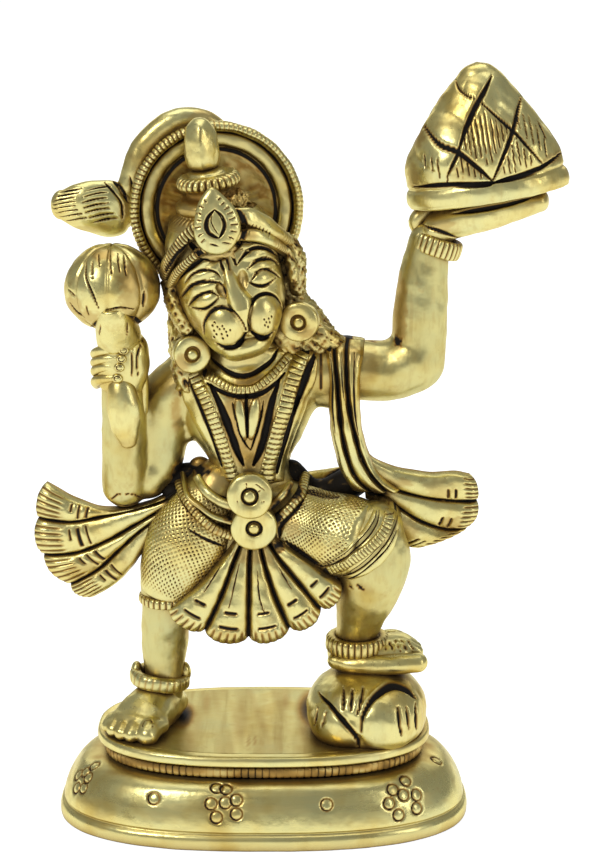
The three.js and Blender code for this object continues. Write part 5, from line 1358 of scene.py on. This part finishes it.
DISH_RADIUS, WORN_SMALLER = 9.1, 0.985
glory = spun([(0.1, -0.3), (7, -0.3), (12.0, -0.1), (12.8, 0.5), (13.0, 1.3), (12.85, 2.1), (12.4, 2.55),
              (11.9, 2.5), (11.6, 2.0), (11.5, 1.4), (11.4, 0.9), (11.25, 1.15), (10.9, 1.4), (10.3, 1.45),
              (9.7, 1.35), (9.4, 1.15), (9.2, 0.65), (9.0, 1.0), (8.4, 1.05), (7.0, 0.8), (3.5, 0.5),
              (0.1, 0.5)], 600, 90, carve=rim_marks)
glory[0] = glory[0] * WORN_SMALLER
radius = np.linalg.norm(glory[0][:, :2], axis=1)
front_side = glory[0][:, 2] > 0
rough_cuts = uneven(glory[0], 0.3) + 0.6 * uneven(glory[0], 0.7)
rough_cuts = rough_cuts * (1 - ease(radius, 8.4, 8.9)) * front_side
glory[0] = glory[0] + (0, 0, 1) * (0.07 * rough_cuts * ease(7.5 - radius, -1, 3))[:, None]
film = (0.2 + 0.26 * ease(rough_cuts, -0.9, 1.2)) * (radius < DISH_RADIUS) * front_side
glory[3] = np.maximum(glory[3], film)
at = turned([np.array([[0.6, 6.0, 12.2]])], **HEAD)[0][0] + (0.65, 0, -0.1)
piece("ring_of_glory", turned(turned(glory, pitch=90), roll=HEAD["roll"], yaw=HEAD["yaw"], at=at), filed)


# ---- The ear rings: flat discs with a boss in a dark ring, one at each side of the chin.
def boss_disc(radius, boss, thick=1.4, film=1.0):
    """A disc that faces the viewer: a raised boss, a narrow sunk ring that keeps its wax, and a broad
    face that rounds off at its edge."""
    sunk = boss * 1.32
    boss_rows = [(0.05, 0.62), (boss * 0.55, 0.6), (boss * 0.9, 0.42), (boss * 1.08, 0.1)]
    ring_rows = [(sunk, -0.06), (sunk * 1.14, 0.12), (sunk * 1.28, 0.36)]
    face_rows = [(radius * k, up) for k, up in (
        (0.62, 0.46), (0.82, 0.4), (0.95, 0.22), (1, -0.1), (0.98, -0.6), (0.9, -thick))]

    def carve(run, turn):
        return 0, film * ease(-np.abs(run - (boss * 1.22 + 0.42)), -boss * 0.5, -boss * 0.1)
    return turned(spun(boss_rows + ring_rows + face_rows + [(0.05, -thick)], 80, 84, carve=carve), pitch=90)


ear_rings = joined(turned(boss_disc(2.75, 0.75, film=0.5), yaw=14, at=(-10.1, -4.9, 57.6)),
                   turned(boss_disc(2.9, 0.75, film=0.62), yaw=-10, at=(5.3, -4.9, 62.3)))
piece("ear_rings", darkened_in_patches(ear_rings, [
    ((-11.4, 56.6), (1.6, 1.8), 0.7), ((6.4, 61.0), (1.8, 1.4), 0.7), ((4.0, 63.6), (1.2, 1.0), 0.6),
    ((-9.0, 58.6), (1.2, 0.8), 0.6)]), filed)


# ---- The two clasps, one over the other: flat bosses that hold the chains, the girdle and the apron.
clasps = joined(turned(boss_disc(3.35, 0.85, 2.4), pitch=-4, at=(-1.8, -8.5, 37.3)),
                turned(boss_disc(3.4, 0.8, 2.6), pitch=6, at=(-1.2, -8.0, 32.4)))
clasps = engraved(clasps, [([(-2.3, 39.4), (-2.2, 38.4)], 0.16), ([(-0.7, 37.9), (-0.2, 38.4)], 0.16),
                           ([(-3.7, 36.9), (-3.5, 36.4)], 0.14), ([(-1.0, 39.3), (0.6, 38.2)], 0.14),
                           ([(-0.1, 36.6), (0.4, 36.7)], 0.14)], deep=0.12)
piece("clasps", clasps, polished)


# ---- The girdle: on each side a ribbed cord under a smooth lip, coming round the waist to the clasps.
def band(points, wide, high, pitch=0, deep=0.15):
    """A narrow band laid over the carving, `wide` and `high` being its half sizes. With a pitch, sharp
    dark valleys are cut across the side that shows."""
    def ribs(run, turn):
        valley = comb(2 * np.pi * run / pitch, 6)
        shown = 1 - ease(np.abs(turn), 1.1, 1.5)
        return -deep * valley * shown, valley * shown * 0.95
    return swept([(*p, wide, high) for p in points], 20, 0.14, carve=ribs if pitch else None,
                 ends=(0.6, 0.6), square=2.6)


girdle = joined(
    band([(-12.4, 0.4, 37.4), (-12, -1.8, 36.6), (-10.7, -4.6, 35.2), (-8.9, -6.1, 33.4), (-7, -6.6, 31.9),
          (-4.6, -6.4, 30.9)], 0.72, 0.9, pitch=0.62),
    band([(-11.8, -0.2, 38.4), (-10.9, -4.1, 36.3), (-8.9, -5.6, 34.9), (-7, -6.1, 33.7),
          (-4.2, -6.5, 32.9)], 0.42, 0.9),
    band([(-9.6, -2.6, 38.6), (-8.2, -4.6, 37.0), (-6.4, -5.6, 35.9), (-4.2, -6.3, 35.2)], 0.7, 0.7),
    band([(1.2, -6.2, 32.8), (2.9, -6.2, 34.0), (4.4, -5.7, 35.4), (5.7, -4.0, 36.8), (6.3, -0.4, 38.2)],
         0.76, 0.9, pitch=0.62),
    band([(0.6, -6.4, 34.8), (2.0, -6.2, 36.0), (3.2, -5.6, 37.1), (4.0, -4.2, 38.0)], 0.5, 0.8))
girdle = darkened_in_patches(girdle, [((1.9, 34.6), (1.3, 2.4), 0.95), ((-4.9, 34.0), (1.0, 1.6), 0.9),
                          ((4.6, 37.2), (1.6, 1.4), 0.9), ((-9.6, 35.4), (2.4, 1.6), 0.6),
                          ((-6.6, 32.0), (3.0, 1.4), 0.6)])
piece("girdle", girdle, filed)


# ---- The tail: it rises behind the back and arches over the ring of glory to the left, where it ends
# in a leaf-shaped tuft, chased with rows of short strokes and tied off with two deep cuts.
tail_line = swept([(-1, 4.6, 32, 1.7), (-2.6, 6.2, 40, 1.8), (-3.6, 7.2, 52, 1.8), (-4.6, 8, 64, 1.8),
                   (-5.4, 8.2, 76, 1.8), (-5.6, 7.6, 86, 1.7), (-8, 6.6, 89.9, 1.6),
                   (-12.6, 6.0, 90.2, 1.75, 1.8), (-17.0, 5.6, 86.4, 2.1, 1.9),
                   (-19.6, 5.4, 80.6, 1.8, 1.8)], around=48, step=0.25)
tuft = swept([(-19.9, 5.3, 77.5, 2.9, 1.4), (-21.0, 5.2, 77.4, 3.9, 1.7), (-22.6, 5.1, 77.45, 4.2, 1.9),
              (-25.0, 4.9, 77.75, 3.85, 2.0), (-27.4, 4.8, 77.95, 3.25, 1.9), (-29.4, 4.7, 78.1, 2.2, 1.5)],
             around=170, step=0.13, ends=(0.6, 1.1))
rows = [([(x, z), (x + 1.8, z + 0.35), (x + 3.4, z + 0.6)], 0.26, 0.7) for x, z in (
    (-29.6, 80.0), (-30.2, 79.4), (-30.5, 78.8), (-30.6, 78.2), (-30.6, 77.6), (-30.2, 77.0), (-29.6, 76.4),
    (-28.8, 75.8))]
rows += [([(x, z), (x + 2.0, z + 0.5), (x + 3.8, z + 0.7)], 0.34, 0.9) for x, z in (
    (-25.9, 80.2), (-26.2, 79.4), (-26.3, 78.6), (-26.2, 77.8), (-25.9, 77.1), (-25.4, 76.3),
    (-24.8, 75.6))]
tuft = engraved(joined(tuft, tail_line), rows + [
    ([(-23.0, 81.4), (-21.9, 80.2), (-20.6, 78.4), (-20.4, 76.0)], 0.5),
    ([(-21.8, 81.6), (-20.6, 80.4), (-19.6, 78.4)], 0.8),
    ([(-19.4, 82.4), (-18.6, 80.0), (-18.0, 77.4)], 0.5)], deep=0.4)
tuft = darkened_in_patches(tuft, [((-20.0, 76.6), (1.4, 2.6), 0.6), ((-8.5, 90.2), (3.4, 2.4), 0.6),
                      ((-16.6, 84.8), (0.8, 3.4), 0.35), ((-25.0, 74.6), (4.0, 0.8), 0.4)])
piece("tail", tuft, filed)
